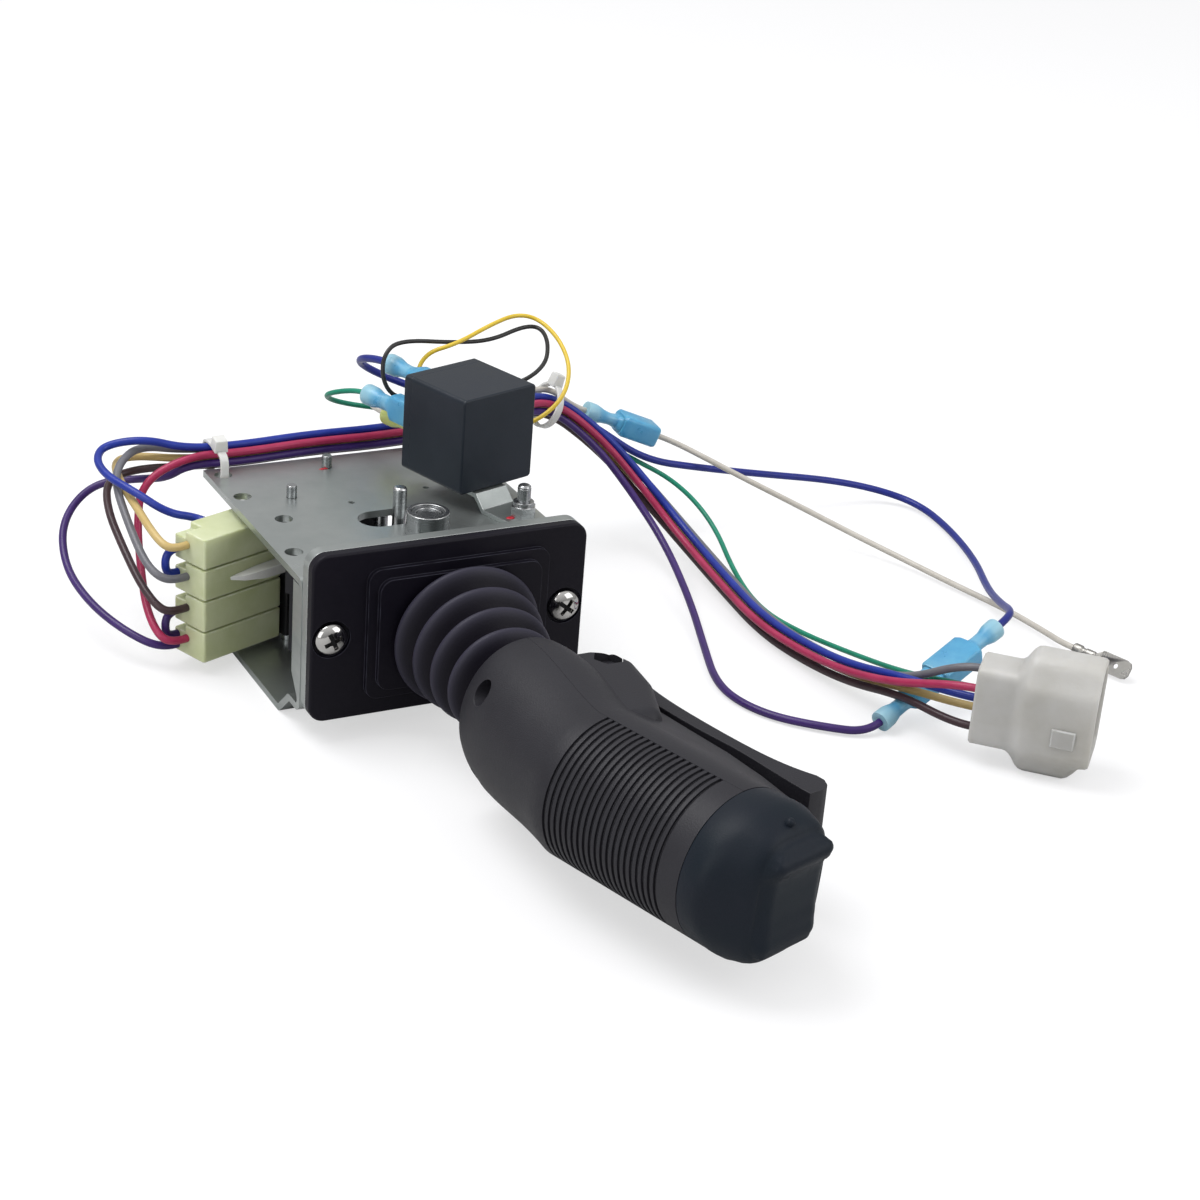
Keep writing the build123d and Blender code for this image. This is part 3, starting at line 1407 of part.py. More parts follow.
blue_main = wire_run("wire_blue", [
    switch_plane.from_local_coords((side_entry_u, switch_plug_width / 2, side_entry_z)),
    switch_plane.from_local_coords((side_entry_u, switch_plug_width / 2 + side_entry_out, side_entry_z)),
    (-62.0, 68.0, 13.0), (-69.5, 76.5, 17.5), (-75.0, 88.0, 19.0), (-75.5, 97.0, 21.0), (-71.0, 102.5, 23.0),
    (-59.5, 98.5, 25.2),
    *strand(0, 14, 0.0, 3.0),
    at_plug(0.0, -15.0, 6), at_plug(0.0, -15.0),
], wire_d)
blue_jumper = wire_run("wire_blue jumper", [
    at_switch_plug(1, wire_back_v, 0, wire_low_rise),
    at_switch_plug(1, wire_back_v, jumper_straight, wire_low_rise),
    at_switch_plug(1, wire_back_v, jumper_reach, wire_low_rise - jumper_drop),
    at_switch_plug(2, wire_back_v, jumper_reach, wire_entry_rise + jumper_drop),
    at_switch_plug(2, wire_back_v, jumper_straight),
    at_switch_plug(2, wire_back_v),
], wire_d)
with BuildPart() as wire_blue:
    add(blue_main)
    add(blue_jumper)
wire_blue.part.label = "wire_blue"
export_step(wire_blue.part, "parts/wire_blue.step")

tan_main = wire_run("wire_tan", [
    at_switch_plug(1, wire_front_v),
    at_switch_plug(1, wire_front_v, 4),
    (-67.3, 54.8, 8.4), (-69.0, 62.0, 10.6), (-69.5, 75.0, 13.2), (-70.0, 88.0, 15.2), (-68.8, 101.5, 17.3),
    (-61.0, 107.0, 16.6),
    *strand(0, 14, -2.6, -1.5),
    at_plug(-4.0, -20.0, 6), at_plug(-4.0, -20.0),
], wire_d)
with BuildPart() as wire_tan:
    add(tan_main)
wire_tan.part.label = "wire_tan"
export_step(wire_tan.part, "parts/wire_tan.step")

grey_main = wire_run("wire_grey", [
    at_switch_plug(2, wire_front_v),
    at_switch_plug(2, wire_front_v, 4.5),
    (-69.0, 54.6, -1.4), (-71.6, 61.0, 1.6), (-72.2, 74.0, 8.0), (-72.6, 87.0, 16.6), (-68.2, 95.5, 20.0),
    (-59.5, 103.5, 21.0),
    *strand(0, 14, -2.6, 1.5),
    at_plug(-4.0, -7.0, 6), at_plug(-4.0, -7.0),
], wire_d)
with BuildPart() as wire_grey:
    add(grey_main)
wire_grey.part.label = "wire_grey"
export_step(wire_grey.part, "parts/wire_grey.step")

brown_main = wire_run("wire_brown", [
    at_switch_plug(3, wire_front_v),
    at_switch_plug(3, wire_front_v, 4.5),
    (-68.8, 54.4, -12.0), (-71.8, 63.0, -7.5), (-73.0, 77.0, -1.0), (-73.5, 92.0, 6.0), (-70.0, 104.0, 10.8),
    (-59.0, 106.5, 12.2),
    *strand(0, 14, 0.0, -3.0),
    at_plug(4.0, -22.5, 6), at_plug(4.0, -22.5),
], wire_d)
with BuildPart() as wire_brown:
    add(brown_main)
wire_brown.part.label = "wire_brown"
export_step(wire_brown.part, "parts/wire_brown.step")

pink_main = wire_run("wire_pink", [
    at_switch_plug(4, wire_front_v),
    at_switch_plug(4, wire_front_v, 4.5),
    (-68.8, 54.8, -21.5), (-70.0, 64.0, -16.0), (-67.5, 77.0, -9.5), (-65.0, 89.0, 1.0), (-62.0, 93.6, 13.0),
    *strand(0, 14, 2.6, 1.5),
    at_plug(4.0, -10.0, 6), at_plug(4.0, -10.0),
], wire_d)
with BuildPart() as wire_pink:
    add(pink_main)
wire_pink.part.label = "wire_pink"
export_step(wire_pink.part, "parts/wire_pink.step")

violet_main = wire_run("wire_violet", [
    at_switch_plug(4, wire_back_v, 0, wire_lowest_rise),
    at_switch_plug(4, wire_back_v, 6, wire_lowest_rise),
    (-76.0, 66.0, -23.5), (-82.5, 82.0, -20.0), (-85.0, 100.0, -15.0), (-82.0, 113.0, -5.0),
    (-71.0, 116.0, 5.0), (-58.0, 108.0, 8.0), (-52.5, 98.0, 11.5),
    *strand(0, 6, 2.6, -1.5),
    (101.0, 103.0, 3.6), (111.0, 95.0, -10.5), (115.0, 74.5, -22.5), (109.1, 44.2, -30.0),
    (97.9, 13.3, -32.2),
    (90.4, -6.4, -32.1), (89.6, -20.4, -32.1), (94.9, -34.0, -32.1), (106.0, -46.0, -31.6),
    pair_start - pair_axis * 6, pair_start,
], wire_d)
with BuildPart() as wire_violet:
    add(violet_main)
wire_violet.part.label = "wire_violet"
export_step(wire_violet.part, "parts/wire_violet.step")

purple_jumper = wire_run("wire_purple", [
    at_switch_plug(3, wire_back_v, 0, wire_low_rise),
    at_switch_plug(3, wire_back_v, jumper_straight, wire_low_rise),
    at_switch_plug(3, wire_back_v, jumper_reach, wire_low_rise - jumper_drop),
    at_switch_plug(4, wire_back_v, jumper_reach, wire_entry_rise + jumper_drop),
    at_switch_plug(4, wire_back_v, jumper_straight),
    at_switch_plug(4, wire_back_v),
], wire_d)
with BuildPart() as wire_purple:
    add(purple_jumper)
wire_purple.part.label = "wire_purple"
export_step(wire_purple.part, "parts/wire_purple.step")

upper_wire_start = on_relay(0.0, terminal_reach, relay_mid_z + relay_blade_pitch)
left_wire_start = on_relay(-relay_blade_pitch, terminal_reach, relay_mid_z)
lower_wire_start = on_relay(0.0, terminal_reach, relay_mid_z - relay_blade_pitch)
navy_main = wire_run("wire_navy", [
    upper_wire_start,
    on_relay(0.0, terminal_reach + 5, relay_mid_z + relay_blade_pitch),
    (14.0, 106.5, 42.0), (19.0, 114.0, 36.0), (32.0, 114.5, 29.0), (48.0, 108.5, 23.6),
    *strand(5, 7, -5.2, 1.5),
    (123.5, 107.4, -6.4), (145.5, 106.7, -11.6), (172.2, 109.0, -18.0),
    (202.9, 109.0, -24.0), (223.1, 105.4, -29.0), (233.4, 93.6, -31.5), (231.9, 71.6, -32.1),
    (223.4, 43.9, -31.0), (205.9, 12.1, -26.0), (193.0, -12.0, -18.5), (184.0, -29.0, -12.0),
    pair_end + pair_axis * 5, pair_end,
], wire_d)
with BuildPart() as wire_navy:
    add(navy_main)
wire_navy.part.label = "wire_navy"
export_step(wire_navy.part, "parts/wire_navy.step")

green_main = wire_run("wire_green", [
    left_wire_start,
    on_relay(-relay_blade_pitch, terminal_reach + 5, relay_mid_z),
    (1.5, 104.0, 32.0), (7.0, 110.5, 26.5), (22.0, 112.0, 22.0), (44.0, 107.5, 19.6),
    *strand(5, 6, -5.2, -1.5),
    (105.5, 114.5, 2.0), (119.0, 110.5, -6.0), (135.0, 103.5, -14.5), (141.4, 87.0, -24.0),
    (134.9, 59.0, -31.0),
    (130.8, 34.4, -32.4), (134.4, 15.1, -32.4), (138.0, -11.0, -28.6), (136.5, -41.0, -20.5),
    at_plug(-4.0, -13.5, 9), at_plug(-4.0, -13.5),
], green_d)
with BuildPart() as wire_green:
    add(green_main)
wire_green.part.label = "wire_green"
export_step(wire_green.part, "parts/wire_green.step")

white_stub = wire_run("wire_white stub", [
    lower_wire_start,
    on_relay(0.0, terminal_reach + 5, relay_mid_z - relay_blade_pitch),
    (17.5, 104.5, 27.0), (24.0, 107.0, 25.0), (44.0, 104.5, 24.4),
    *strand(5, 6, -2.8, 4.4),
    splice_start - splice_axis * 6, splice_start,
], white_d)
white_main = wire_run("wire_white", [
    splice_end,
    splice_end + splice_axis * 7,
    (145.0, 104.5, -6.4), (157.5, 94.5, -12.6), (173.0, 83.5, -20.0), (188.0, 69.0, -27.0),
    (198.5, 51.0, -30.6),
    (205.0, 29.0, -31.6), (210.5, 6.0, -31.4), (211.5, -15.0, -30.6), tab_start - tab_axis * 5, tab_start,
], white_d)
with BuildPart() as wire_white:
    add(white_stub)
    add(white_main)
wire_white.part.label = "wire_white"
export_step(wire_white.part, "parts/wire_white.step")

blade_end_v = relay_back_v + relay_blade_length + blade_wire_gap
yellow_loop = wire_run("wire_yellow", [
    on_relay(2.0, blade_end_v, relay_mid_z),
    on_relay(2.2, blade_end_v + 5, relay_mid_z + 1),
    on_relay(5.2, 32.0, 41.6),
    (29.2, 88.2, 48.5), (38.4, 84.5, 52.0), (52.5, 90.5, 55.0), (64.2, 95.8, 56.0), (71.5, 93.5, 54.6),
    (73.7, 81.4, 51.0), (72.5, 70.5, 45.0), (66.5, 63.0, 38.0), (56.0, 62.5, 31.0), (47.5, 70.0, 28.0),
    (42.0, 76.5, 29.0),
    on_relay(relay_blade_pitch, blade_end_v + 5, relay_mid_z - 2),
    on_relay(relay_blade_pitch, blade_end_v, relay_mid_z - 2),
], thin_d)
with BuildPart() as wire_yellow:
    add(yellow_loop)
wire_yellow.part.label = "wire_yellow"
export_step(wire_yellow.part, "parts/wire_yellow.step")

black_loop = wire_run("wire_black", [
    on_relay(-2.0, blade_end_v, relay_mid_z),
    on_relay(-2.2, blade_end_v + 5, relay_mid_z + 0.5),
    on_relay(-5.8, 30.5, 39.0), on_relay(-7.4, 33.0, 43.8), on_relay(-5.6, 35.0, 50.6),
    on_relay(1.0, 35.5, 54.2),
    (41.0, 89.5, 50.4), (53.0, 89.0, 50.4), (65.1, 92.0, 53.0), (71.0, 91.0, 52.6),
    (69.7, 82.0, 50.5), (65.2, 74.0, 46.0), (56.0, 72.0, 41.5),
    (46.0, 76.0, 39.2),
    on_relay(relay_blade_pitch, blade_end_v + 4, relay_mid_z + 2),
    on_relay(relay_blade_pitch, blade_end_v, relay_mid_z + 2),
], thin_d)
with BuildPart() as wire_black:
    add(black_loop)
wire_black.part.label = "wire_black"
export_step(wire_black.part, "parts/wire_black.step")

# Cable ties: one holds the bundle to the plate's rear edge, one goes round the bundle alone
edge_tie_front_y = spare_holes[3][1] - edge_tie_hole_reach
edge_tie_bottom_z = top_z - sheet - edge_tie_slack
edge_tie_mid = ((edge_tie_front_y + edge_tie_back_y) / 2, (edge_tie_bottom_z + edge_tie_top_z) / 2)
edge_tie_inner = (edge_tie_back_y - edge_tie_front_y, edge_tie_top_z - edge_tie_bottom_z)
tie_before, tie_corner, tie_after = (Vector(*bundle[tie_station + step]) for step in (-1, 0, 1))
tie_axis = (tie_after - tie_before).normalized()
tie_side = tie_axis.cross(Vector(0, 0, 1)).normalized()
tie_half_turn = radians((tie_corner - tie_before).get_angle(tie_after - tie_corner)) / 2
tie_inset = corner_radii([tie_before, tie_corner, tie_after])[0] * (1 / cos(tie_half_turn) - 1)
tie_inward = ((tie_before - tie_corner).normalized() + (tie_after - tie_corner).normalized()).normalized()
tie_origin = tie_corner + tie_inward * tie_inset - tie_side * tie_shift
tie_plane = Plane(origin=tie_origin, x_dir=-tie_side, z_dir=tie_axis)
with BuildPart() as cable_ties:
    with BuildSketch(Plane.YZ.offset(spare_holes[3][0] - tie_width / 2)):
        with Locations(edge_tie_mid):
            RectangleRounded(
                edge_tie_inner[0] + 2 * tie_thickness,
                edge_tie_inner[1] + 2 * tie_thickness,
                edge_tie_corner_r + tie_thickness,
            )
            RectangleRounded(edge_tie_inner[0], edge_tie_inner[1], edge_tie_corner_r, mode=Mode.SUBTRACT)
    extrude(amount=tie_width)
    with BuildSketch(tie_plane.offset(-tie_width / 2)):
        Circle(tie_inner_r + tie_thickness)
        Circle(tie_inner_r, mode=Mode.SUBTRACT)
        with Locations((0, tie_inner_r + tie_head / 2 + tie_thickness / 2)):
            Rectangle(tie_head, tie_head)
    extrude(amount=tie_width)
cable_ties.part.label = "cable_ties"
export_step(cable_ties.part, "parts/cable_ties.step")
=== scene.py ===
"""Looks of an industrial joystick: chassis, bezel, bellows, pistol grip, relay, switches and harness."""

import json
import logging
import math
from dataclasses import dataclass, field, replace
from enum import Enum
from typing import Sequence

import bmesh
import bpy
from mathutils import Matrix, Vector

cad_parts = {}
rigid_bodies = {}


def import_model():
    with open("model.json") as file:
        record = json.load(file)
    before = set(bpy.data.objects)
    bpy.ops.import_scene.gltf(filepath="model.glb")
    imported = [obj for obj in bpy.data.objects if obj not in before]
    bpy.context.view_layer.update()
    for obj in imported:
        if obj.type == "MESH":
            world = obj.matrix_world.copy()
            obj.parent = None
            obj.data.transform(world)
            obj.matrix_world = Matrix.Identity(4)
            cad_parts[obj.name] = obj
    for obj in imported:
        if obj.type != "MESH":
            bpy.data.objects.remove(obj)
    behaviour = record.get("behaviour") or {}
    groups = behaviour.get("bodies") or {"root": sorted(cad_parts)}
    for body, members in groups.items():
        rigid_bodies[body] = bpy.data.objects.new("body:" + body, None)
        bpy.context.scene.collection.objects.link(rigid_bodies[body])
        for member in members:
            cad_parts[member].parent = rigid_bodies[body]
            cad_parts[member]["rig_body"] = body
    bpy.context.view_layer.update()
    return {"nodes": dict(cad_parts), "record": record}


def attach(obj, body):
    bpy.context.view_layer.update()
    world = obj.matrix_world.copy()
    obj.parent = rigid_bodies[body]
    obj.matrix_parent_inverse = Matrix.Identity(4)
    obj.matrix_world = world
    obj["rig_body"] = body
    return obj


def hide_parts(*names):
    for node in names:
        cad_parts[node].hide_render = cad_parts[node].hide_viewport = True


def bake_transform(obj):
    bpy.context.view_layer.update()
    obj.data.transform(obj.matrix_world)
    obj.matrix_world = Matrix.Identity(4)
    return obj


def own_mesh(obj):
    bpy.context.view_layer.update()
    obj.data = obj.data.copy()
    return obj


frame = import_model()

MM = 0.001
LOG = logging.getLogger("joystick")
Colour = tuple[float, float, float]
Point = tuple[float, float, float]


def mm(x: float, y: float, z: float) -> Vector:
    """Point in metres from millimetres."""
    return Vector((x, y, z)) * MM


class Body(Enum):
    """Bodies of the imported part."""

    CHASSIS = "chassis"
    LEVER = "lever"
    ROCKER = "rocker"


class FarEnd(Enum):
    """What a wire ends in."""

    PLUG = "plug"
    CONNECTOR = "connector"
    FITTING = "fitting"
    OBJECT = "object"


def feed(node: bpy.types.Node, values: dict[str, object]) -> None:
    """Sets sockets of a node by their names."""
    for name, value in values.items():
        node.inputs[name].default_value = value


class ShaderGroups:
    """Node groups that more than one finish uses, each built once."""

    def __init__(self) -> None:
        """Builds the groups."""
        self.mottle = self._mottle()
        self.grain = self._grain()

    @staticmethod
    def _new(name: str, inputs: dict[str, str], outputs: dict[str, str]) -> bpy.types.NodeTree:
        """Makes an empty group.

        Args:
            name: name of the group.
            inputs: socket type of each input.
            outputs: socket type of each output.

        Returns:
            The group with its sockets and its two end nodes.
        """
        tree = bpy.data.node_groups.new(name, "ShaderNodeTree")
        for label, kind in inputs.items():
            tree.interface.new_socket(name=label, in_out="INPUT", socket_type=kind)
        for label, kind in outputs.items():
            tree.interface.new_socket(name=label, in_out="OUTPUT", socket_type=kind)
        tree.nodes.new("NodeGroupInput")
        tree.nodes.new("NodeGroupOutput")
        return tree

    def _mottle(self) -> bpy.types.NodeTree:
        """Two colours in soft cloudy patches, with the patches as a mask."""
        tree = self._new(
            "Mottle",
            {"Colour": "NodeSocketColor", "Shade": "NodeSocketColor", "Scale": "NodeSocketFloat",
             "Stretch": "NodeSocketVector"},
            {"Colour": "NodeSocketColor", "Mask": "NodeSocketFloat"},
        )
        given, out = tree.nodes["Group Input"], tree.nodes["Group Output"]
        place = tree.nodes.new("ShaderNodeTexCoord")
        stretch = tree.nodes.new("ShaderNodeVectorMath")
        stretch.operation = "MULTIPLY"
        noise = tree.nodes.new("ShaderNodeTexNoise")
        noise.inputs["Detail"].default_value = 4.0
        noise.inputs["Roughness"].default_value = 0.6
        spread = tree.nodes.new("ShaderNodeMapRange")
        spread.inputs["From Min"].default_value = 0.3
        spread.inputs["From Max"].default_value = 0.7
        mix = tree.nodes.new("ShaderNodeMix")
        mix.data_type = "RGBA"
        tree.links.new(place.outputs["Object"], stretch.inputs[0])
        tree.links.new(given.outputs["Stretch"], stretch.inputs[1])
        tree.links.new(stretch.outputs[0], noise.inputs["Vector"])
        tree.links.new(given.outputs["Scale"], noise.inputs["Scale"])
        tree.links.new(noise.outputs["Fac"], spread.inputs["Value"])
        tree.links.new(spread.outputs["Result"], mix.inputs["Factor"])
        tree.links.new(given.outputs["Colour"], mix.inputs["A"])
        tree.links.new(given.outputs["Shade"], mix.inputs["B"])
        tree.links.new(mix.outputs["Result"], out.inputs["Colour"])
        tree.links.new(spread.outputs["Result"], out.inputs["Mask"])
        return tree

    def _grain(self) -> bpy.types.NodeTree:
        """Fine moulded or rolled grain as a height."""
        tree = self._new(
            "Grain",
            {"Scale": "NodeSocketFloat", "Stretch": "NodeSocketVector"},
            {"Height": "NodeSocketFloat"},
        )
        given, out = tree.nodes["Group Input"], tree.nodes["Group Output"]
        place = tree.nodes.new("ShaderNodeTexCoord")
        stretch = tree.nodes.new("ShaderNodeVectorMath")
        stretch.operation = "MULTIPLY"
        noise = tree.nodes.new("ShaderNodeTexNoise")
        noise.inputs["Detail"].default_value = 2.0
        cells = tree.nodes.new("ShaderNodeTexVoronoi")
        both = tree.nodes.new("ShaderNodeMath")
        both.operation = "MULTIPLY"
        tree.links.new(place.outputs["Object"], stretch.inputs[0])
        tree.links.new(given.outputs["Stretch"], stretch.inputs[1])
        for texture in (noise, cells):
            tree.links.new(stretch.outputs[0], texture.inputs["Vector"])
            tree.links.new(given.outputs["Scale"], texture.inputs["Scale"])
        tree.links.new(noise.outputs["Fac"], both.inputs[0])
        tree.links.new(cells.outputs["Distance"], both.inputs[1])
        tree.links.new(both.outputs[0], out.inputs["Height"])
        return tree


@dataclass(frozen=True)
class Finish:
    """One procedural surface finish.

    Colours are linear. Scales are in cells per metre and depths in metres.
    """

    name: str
    colour: Colour
    shade: Colour
    rough: tuple[float, float] = (0.42, 0.52)
    metallic: float = 0.0
    patch_scale: float = 60.0
    grain_scale: float = 2600.0
    grain_depth: float = 0.00004
    stretch: Point = (1.0, 1.0, 1.0)
    # Lighter colour of the bevel faces: partly wear, partly a painted edge highlight.
    edge: Colour | None = None
    gloss: float = 0.5
    coat: float = 0.0
    glow: float = 0.0
    clear: float = 0.0
    # Lighter colour mixed in by a mesh attribute: a painted highlight on the bellows' crests and lip, a
    # lighter tint on the terminals' mouths, crimps and housing ends.
    flare: Colour | None = None

    def material(self, groups: ShaderGroups) -> bpy.types.Material:
        """Builds the material.

        Args:
            groups: the shared shader groups.

        Returns:
            The material, with the Principled shader in itself.
        """
        made = bpy.data.materials.new(self.name)
        made.use_nodes = True
        nodes, links = made.node_tree.nodes, made.node_tree.links
        shader = nodes["Principled BSDF"]
        feed(shader, {
            "Metallic": self.metallic, "Specular IOR Level": self.gloss, "Coat Weight": self.coat,
            "Coat Roughness": 0.18, "Transmission Weight": self.clear, "Subsurface Weight": self.glow,
            "Subsurface Radius": (1.0, 0.95, 0.85), "Subsurface Scale": 0.004,
        })
        patches = nodes.new("ShaderNodeGroup")
        patches.node_tree = groups.mottle
        feed(patches, {
            "Colour": (*self.colour, 1.0), "Shade": (*self.shade, 1.0), "Scale": self.patch_scale,
            "Stretch": self.stretch,
        })
        rough = nodes.new("ShaderNodeMapRange")
        rough.inputs["To Min"].default_value = self.rough[0]
        rough.inputs["To Max"].default_value = self.rough[1]
        grain = nodes.new("ShaderNodeGroup")
        grain.node_tree = groups.grain
        grain.inputs["Scale"].default_value = self.grain_scale
        grain.inputs["Stretch"].default_value = self.stretch
        bump = nodes.new("ShaderNodeBump")
        bump.inputs["Distance"].default_value = self.grain_depth
        colour = patches.outputs["Colour"]
        # Mixes in the lighter colour by the mesh attribute: painted crest highlight on the rubber, lighter
        # tint on the terminals.
        if self.flare is not None:
            share = nodes.new("ShaderNodeAttribute")
            share.attribute_name = "flare"
            mix = nodes.new("ShaderNodeMix")
            mix.data_type = "RGBA"
            mix.inputs["B"].default_value = (*self.flare, 1.0)
            links.new(share.outputs["Fac"], mix.inputs["Factor"])
            links.new(colour, mix.inputs["A"])
            colour = mix.outputs["Result"]
        links.new(colour, shader.inputs["Base Color"])
        links.new(patches.outputs["Mask"], rough.inputs["Value"])
        links.new(rough.outputs["Result"], shader.inputs["Roughness"])
        links.new(grain.outputs["Height"], bump.inputs["Height"])
        links.new(bump.outputs["Normal"], shader.inputs["Normal"])
        return made

    def edge_wear_and_highlight(self) -> "Finish":
        """The same finish on the faces of a bevel, in its lighter edge colour: partly wear, partly a painted
        edge highlight.
        """
        low, high = self.rough
        return replace(self, name=f"{self.name}_edge", colour=self.edge, shade=self.colour,
                       rough=(low * 0.7, high * 0.8), patch_scale=4 * self.patch_scale)


def insulation(name: str, colour: Colour, shade: Colour) -> Finish:
    """Soft glossy wire insulation in one colour."""
    return Finish(name, colour, shade, rough=(0.3, 0.4), patch_scale=140.0, grain_scale=1800.0,
                  grain_depth=0.00003, gloss=0.35, coat=0.1)


FINISHES = [
    Finish("zinc_plate", (0.5, 0.53, 0.52), (0.35, 0.38, 0.375), rough=(0.26, 0.42), metallic=0.9,
           patch_scale=30.0, grain_scale=900.0, grain_depth=0.00003, stretch=(1.0, 1.0, 3.0),
           edge=(0.62, 0.64, 0.64)),
    Finish("steel", (0.44, 0.45, 0.46), (0.3, 0.31, 0.32), rough=(0.2, 0.32), metallic=1.0,
           patch_scale=120.0, grain_scale=1500.0, grain_depth=0.00003, stretch=(1.0, 1.0, 5.0),
           edge=(0.75, 0.75, 0.75)),
    Finish("spring_steel", (0.3, 0.3, 0.31), (0.2, 0.2, 0.21), rough=(0.28, 0.4), metallic=1.0),
    Finish("chrome", (0.6, 0.59, 0.57), (0.5, 0.49, 0.48), rough=(0.08, 0.16), metallic=1.0,
           patch_scale=200.0, grain_scale=1500.0, grain_depth=0.00001),
    Finish("brass", (0.62, 0.58, 0.46), (0.5, 0.46, 0.36), rough=(0.25, 0.35), metallic=1.0),
    Finish("tinned", (0.42, 0.41, 0.39), (0.3, 0.29, 0.27), rough=(0.24, 0.38), metallic=1.0,
           patch_scale=220.0, edge=(0.75, 0.75, 0.73)),
    # Rubber: its crest colour is a painted highlight on the bellows' crests and lip, and its edge colour is a
    # painted highlight on the bevel faces.
    Finish("rubber", (0.0045, 0.0038, 0.0078), (0.0075, 0.0062, 0.0115), rough=(0.38, 0.48), patch_scale=46.0,
           grain_scale=3200.0, gloss=0.16, edge=(0.042, 0.042, 0.06), flare=(0.036, 0.034, 0.052)),
    Finish("boot_rubber", (0.005, 0.0105, 0.0168), (0.0098, 0.0125, 0.0205), rough=(0.42, 0.52),
           patch_scale=40.0, grain_scale=2800.0, gloss=0.18, flare=(0.022, 0.028, 0.038)),
    Finish("grip_plastic", (0.0168, 0.0162, 0.0208), (0.0225, 0.022, 0.0275), rough=(0.42, 0.52),
           patch_scale=44.0,
           grain_scale=2200.0, grain_depth=0.00006, gloss=0.26, edge=(0.036, 0.035, 0.042)),
    Finish("switch_black", (0.008, 0.008, 0.009), (0.013, 0.013, 0.015), rough=(0.45, 0.6), patch_scale=120.0,
           gloss=0.25),
    Finish("plunger_plastic", (0.5, 0.06, 0.04), (0.4, 0.05, 0.03), rough=(0.35, 0.45)),
    Finish("relay_black", (0.0095, 0.0145, 0.022), (0.015, 0.02, 0.03), rough=(0.3, 0.4), patch_scale=50.0,
           grain_scale=1600.0, grain_depth=0.00002, gloss=0.3, edge=(0.03, 0.036, 0.048)),
    Finish("plug_yellow", (0.5, 0.55, 0.29), (0.62, 0.66, 0.44), rough=(0.28, 0.4), patch_scale=70.0,
           grain_scale=1400.0, grain_depth=0.00003, edge=(0.74, 0.77, 0.6), glow=0.5),
    Finish("plug_white", (0.45, 0.44, 0.41), (0.56, 0.555, 0.545), rough=(0.34, 0.46), patch_scale=42.0,
           grain_scale=1400.0, grain_depth=0.00003, edge=(0.7, 0.7, 0.68), glow=0.55),
    Finish("terminal_blue", (0.06, 0.33, 0.6), (0.12, 0.44, 0.68), rough=(0.26, 0.36), patch_scale=160.0,
           grain_scale=1200.0, grain_depth=0.00002, edge=(0.4, 0.68, 0.82), glow=0.35,
           clear=0.15, flare=(0.34, 0.6, 0.72)),
    Finish("terminal_yellow", (0.55, 0.6, 0.08), (0.62, 0.66, 0.2), rough=(0.26, 0.36), patch_scale=160.0,
           grain_depth=0.00002, edge=(0.8, 0.82, 0.5), glow=0.35, clear=0.15, flare=(0.62, 0.68, 0.24)),
    Finish("nylon_white", (0.62, 0.62, 0.6), (0.72, 0.72, 0.7), rough=(0.32, 0.42), patch_scale=150.0,
           glow=0.3),
    insulation("wire_blue", (0.008, 0.024, 0.25), (0.012, 0.034, 0.32)),
    insulation("wire_tan", (0.5, 0.36, 0.13), (0.58, 0.43, 0.18)),
    insulation("wire_grey", (0.13, 0.13, 0.15), (0.17, 0.17, 0.19)),
    insulation("wire_brown", (0.038, 0.02, 0.026), (0.055, 0.028, 0.034)),
    insulation("wire_pink", (0.34, 0.018, 0.075), (0.42, 0.03, 0.1)),
    insulation("wire_violet", (0.035, 0.012, 0.11), (0.05, 0.018, 0.15)),
    insulation("wire_purple", (0.03, 0.01, 0.1), (0.042, 0.015, 0.14)),
    insulation("wire_navy", (0.007, 0.015, 0.18), (0.01, 0.02, 0.24)),
    insulation("wire_green", (0.005, 0.2, 0.12), (0.01, 0.26, 0.16)),
    insulation("wire_white", (0.5, 0.47, 0.42), (0.58, 0.55, 0.5)),
    insulation("wire_yellow", (0.66, 0.46, 0.03), (0.74, 0.54, 0.06)),
    insulation("wire_black", (0.012, 0.012, 0.012), (0.02, 0.02, 0.02)),
    Finish("torque_mark", (0.5, 0.012, 0.03), (0.4, 0.01, 0.02), rough=(0.3, 0.4)),
]


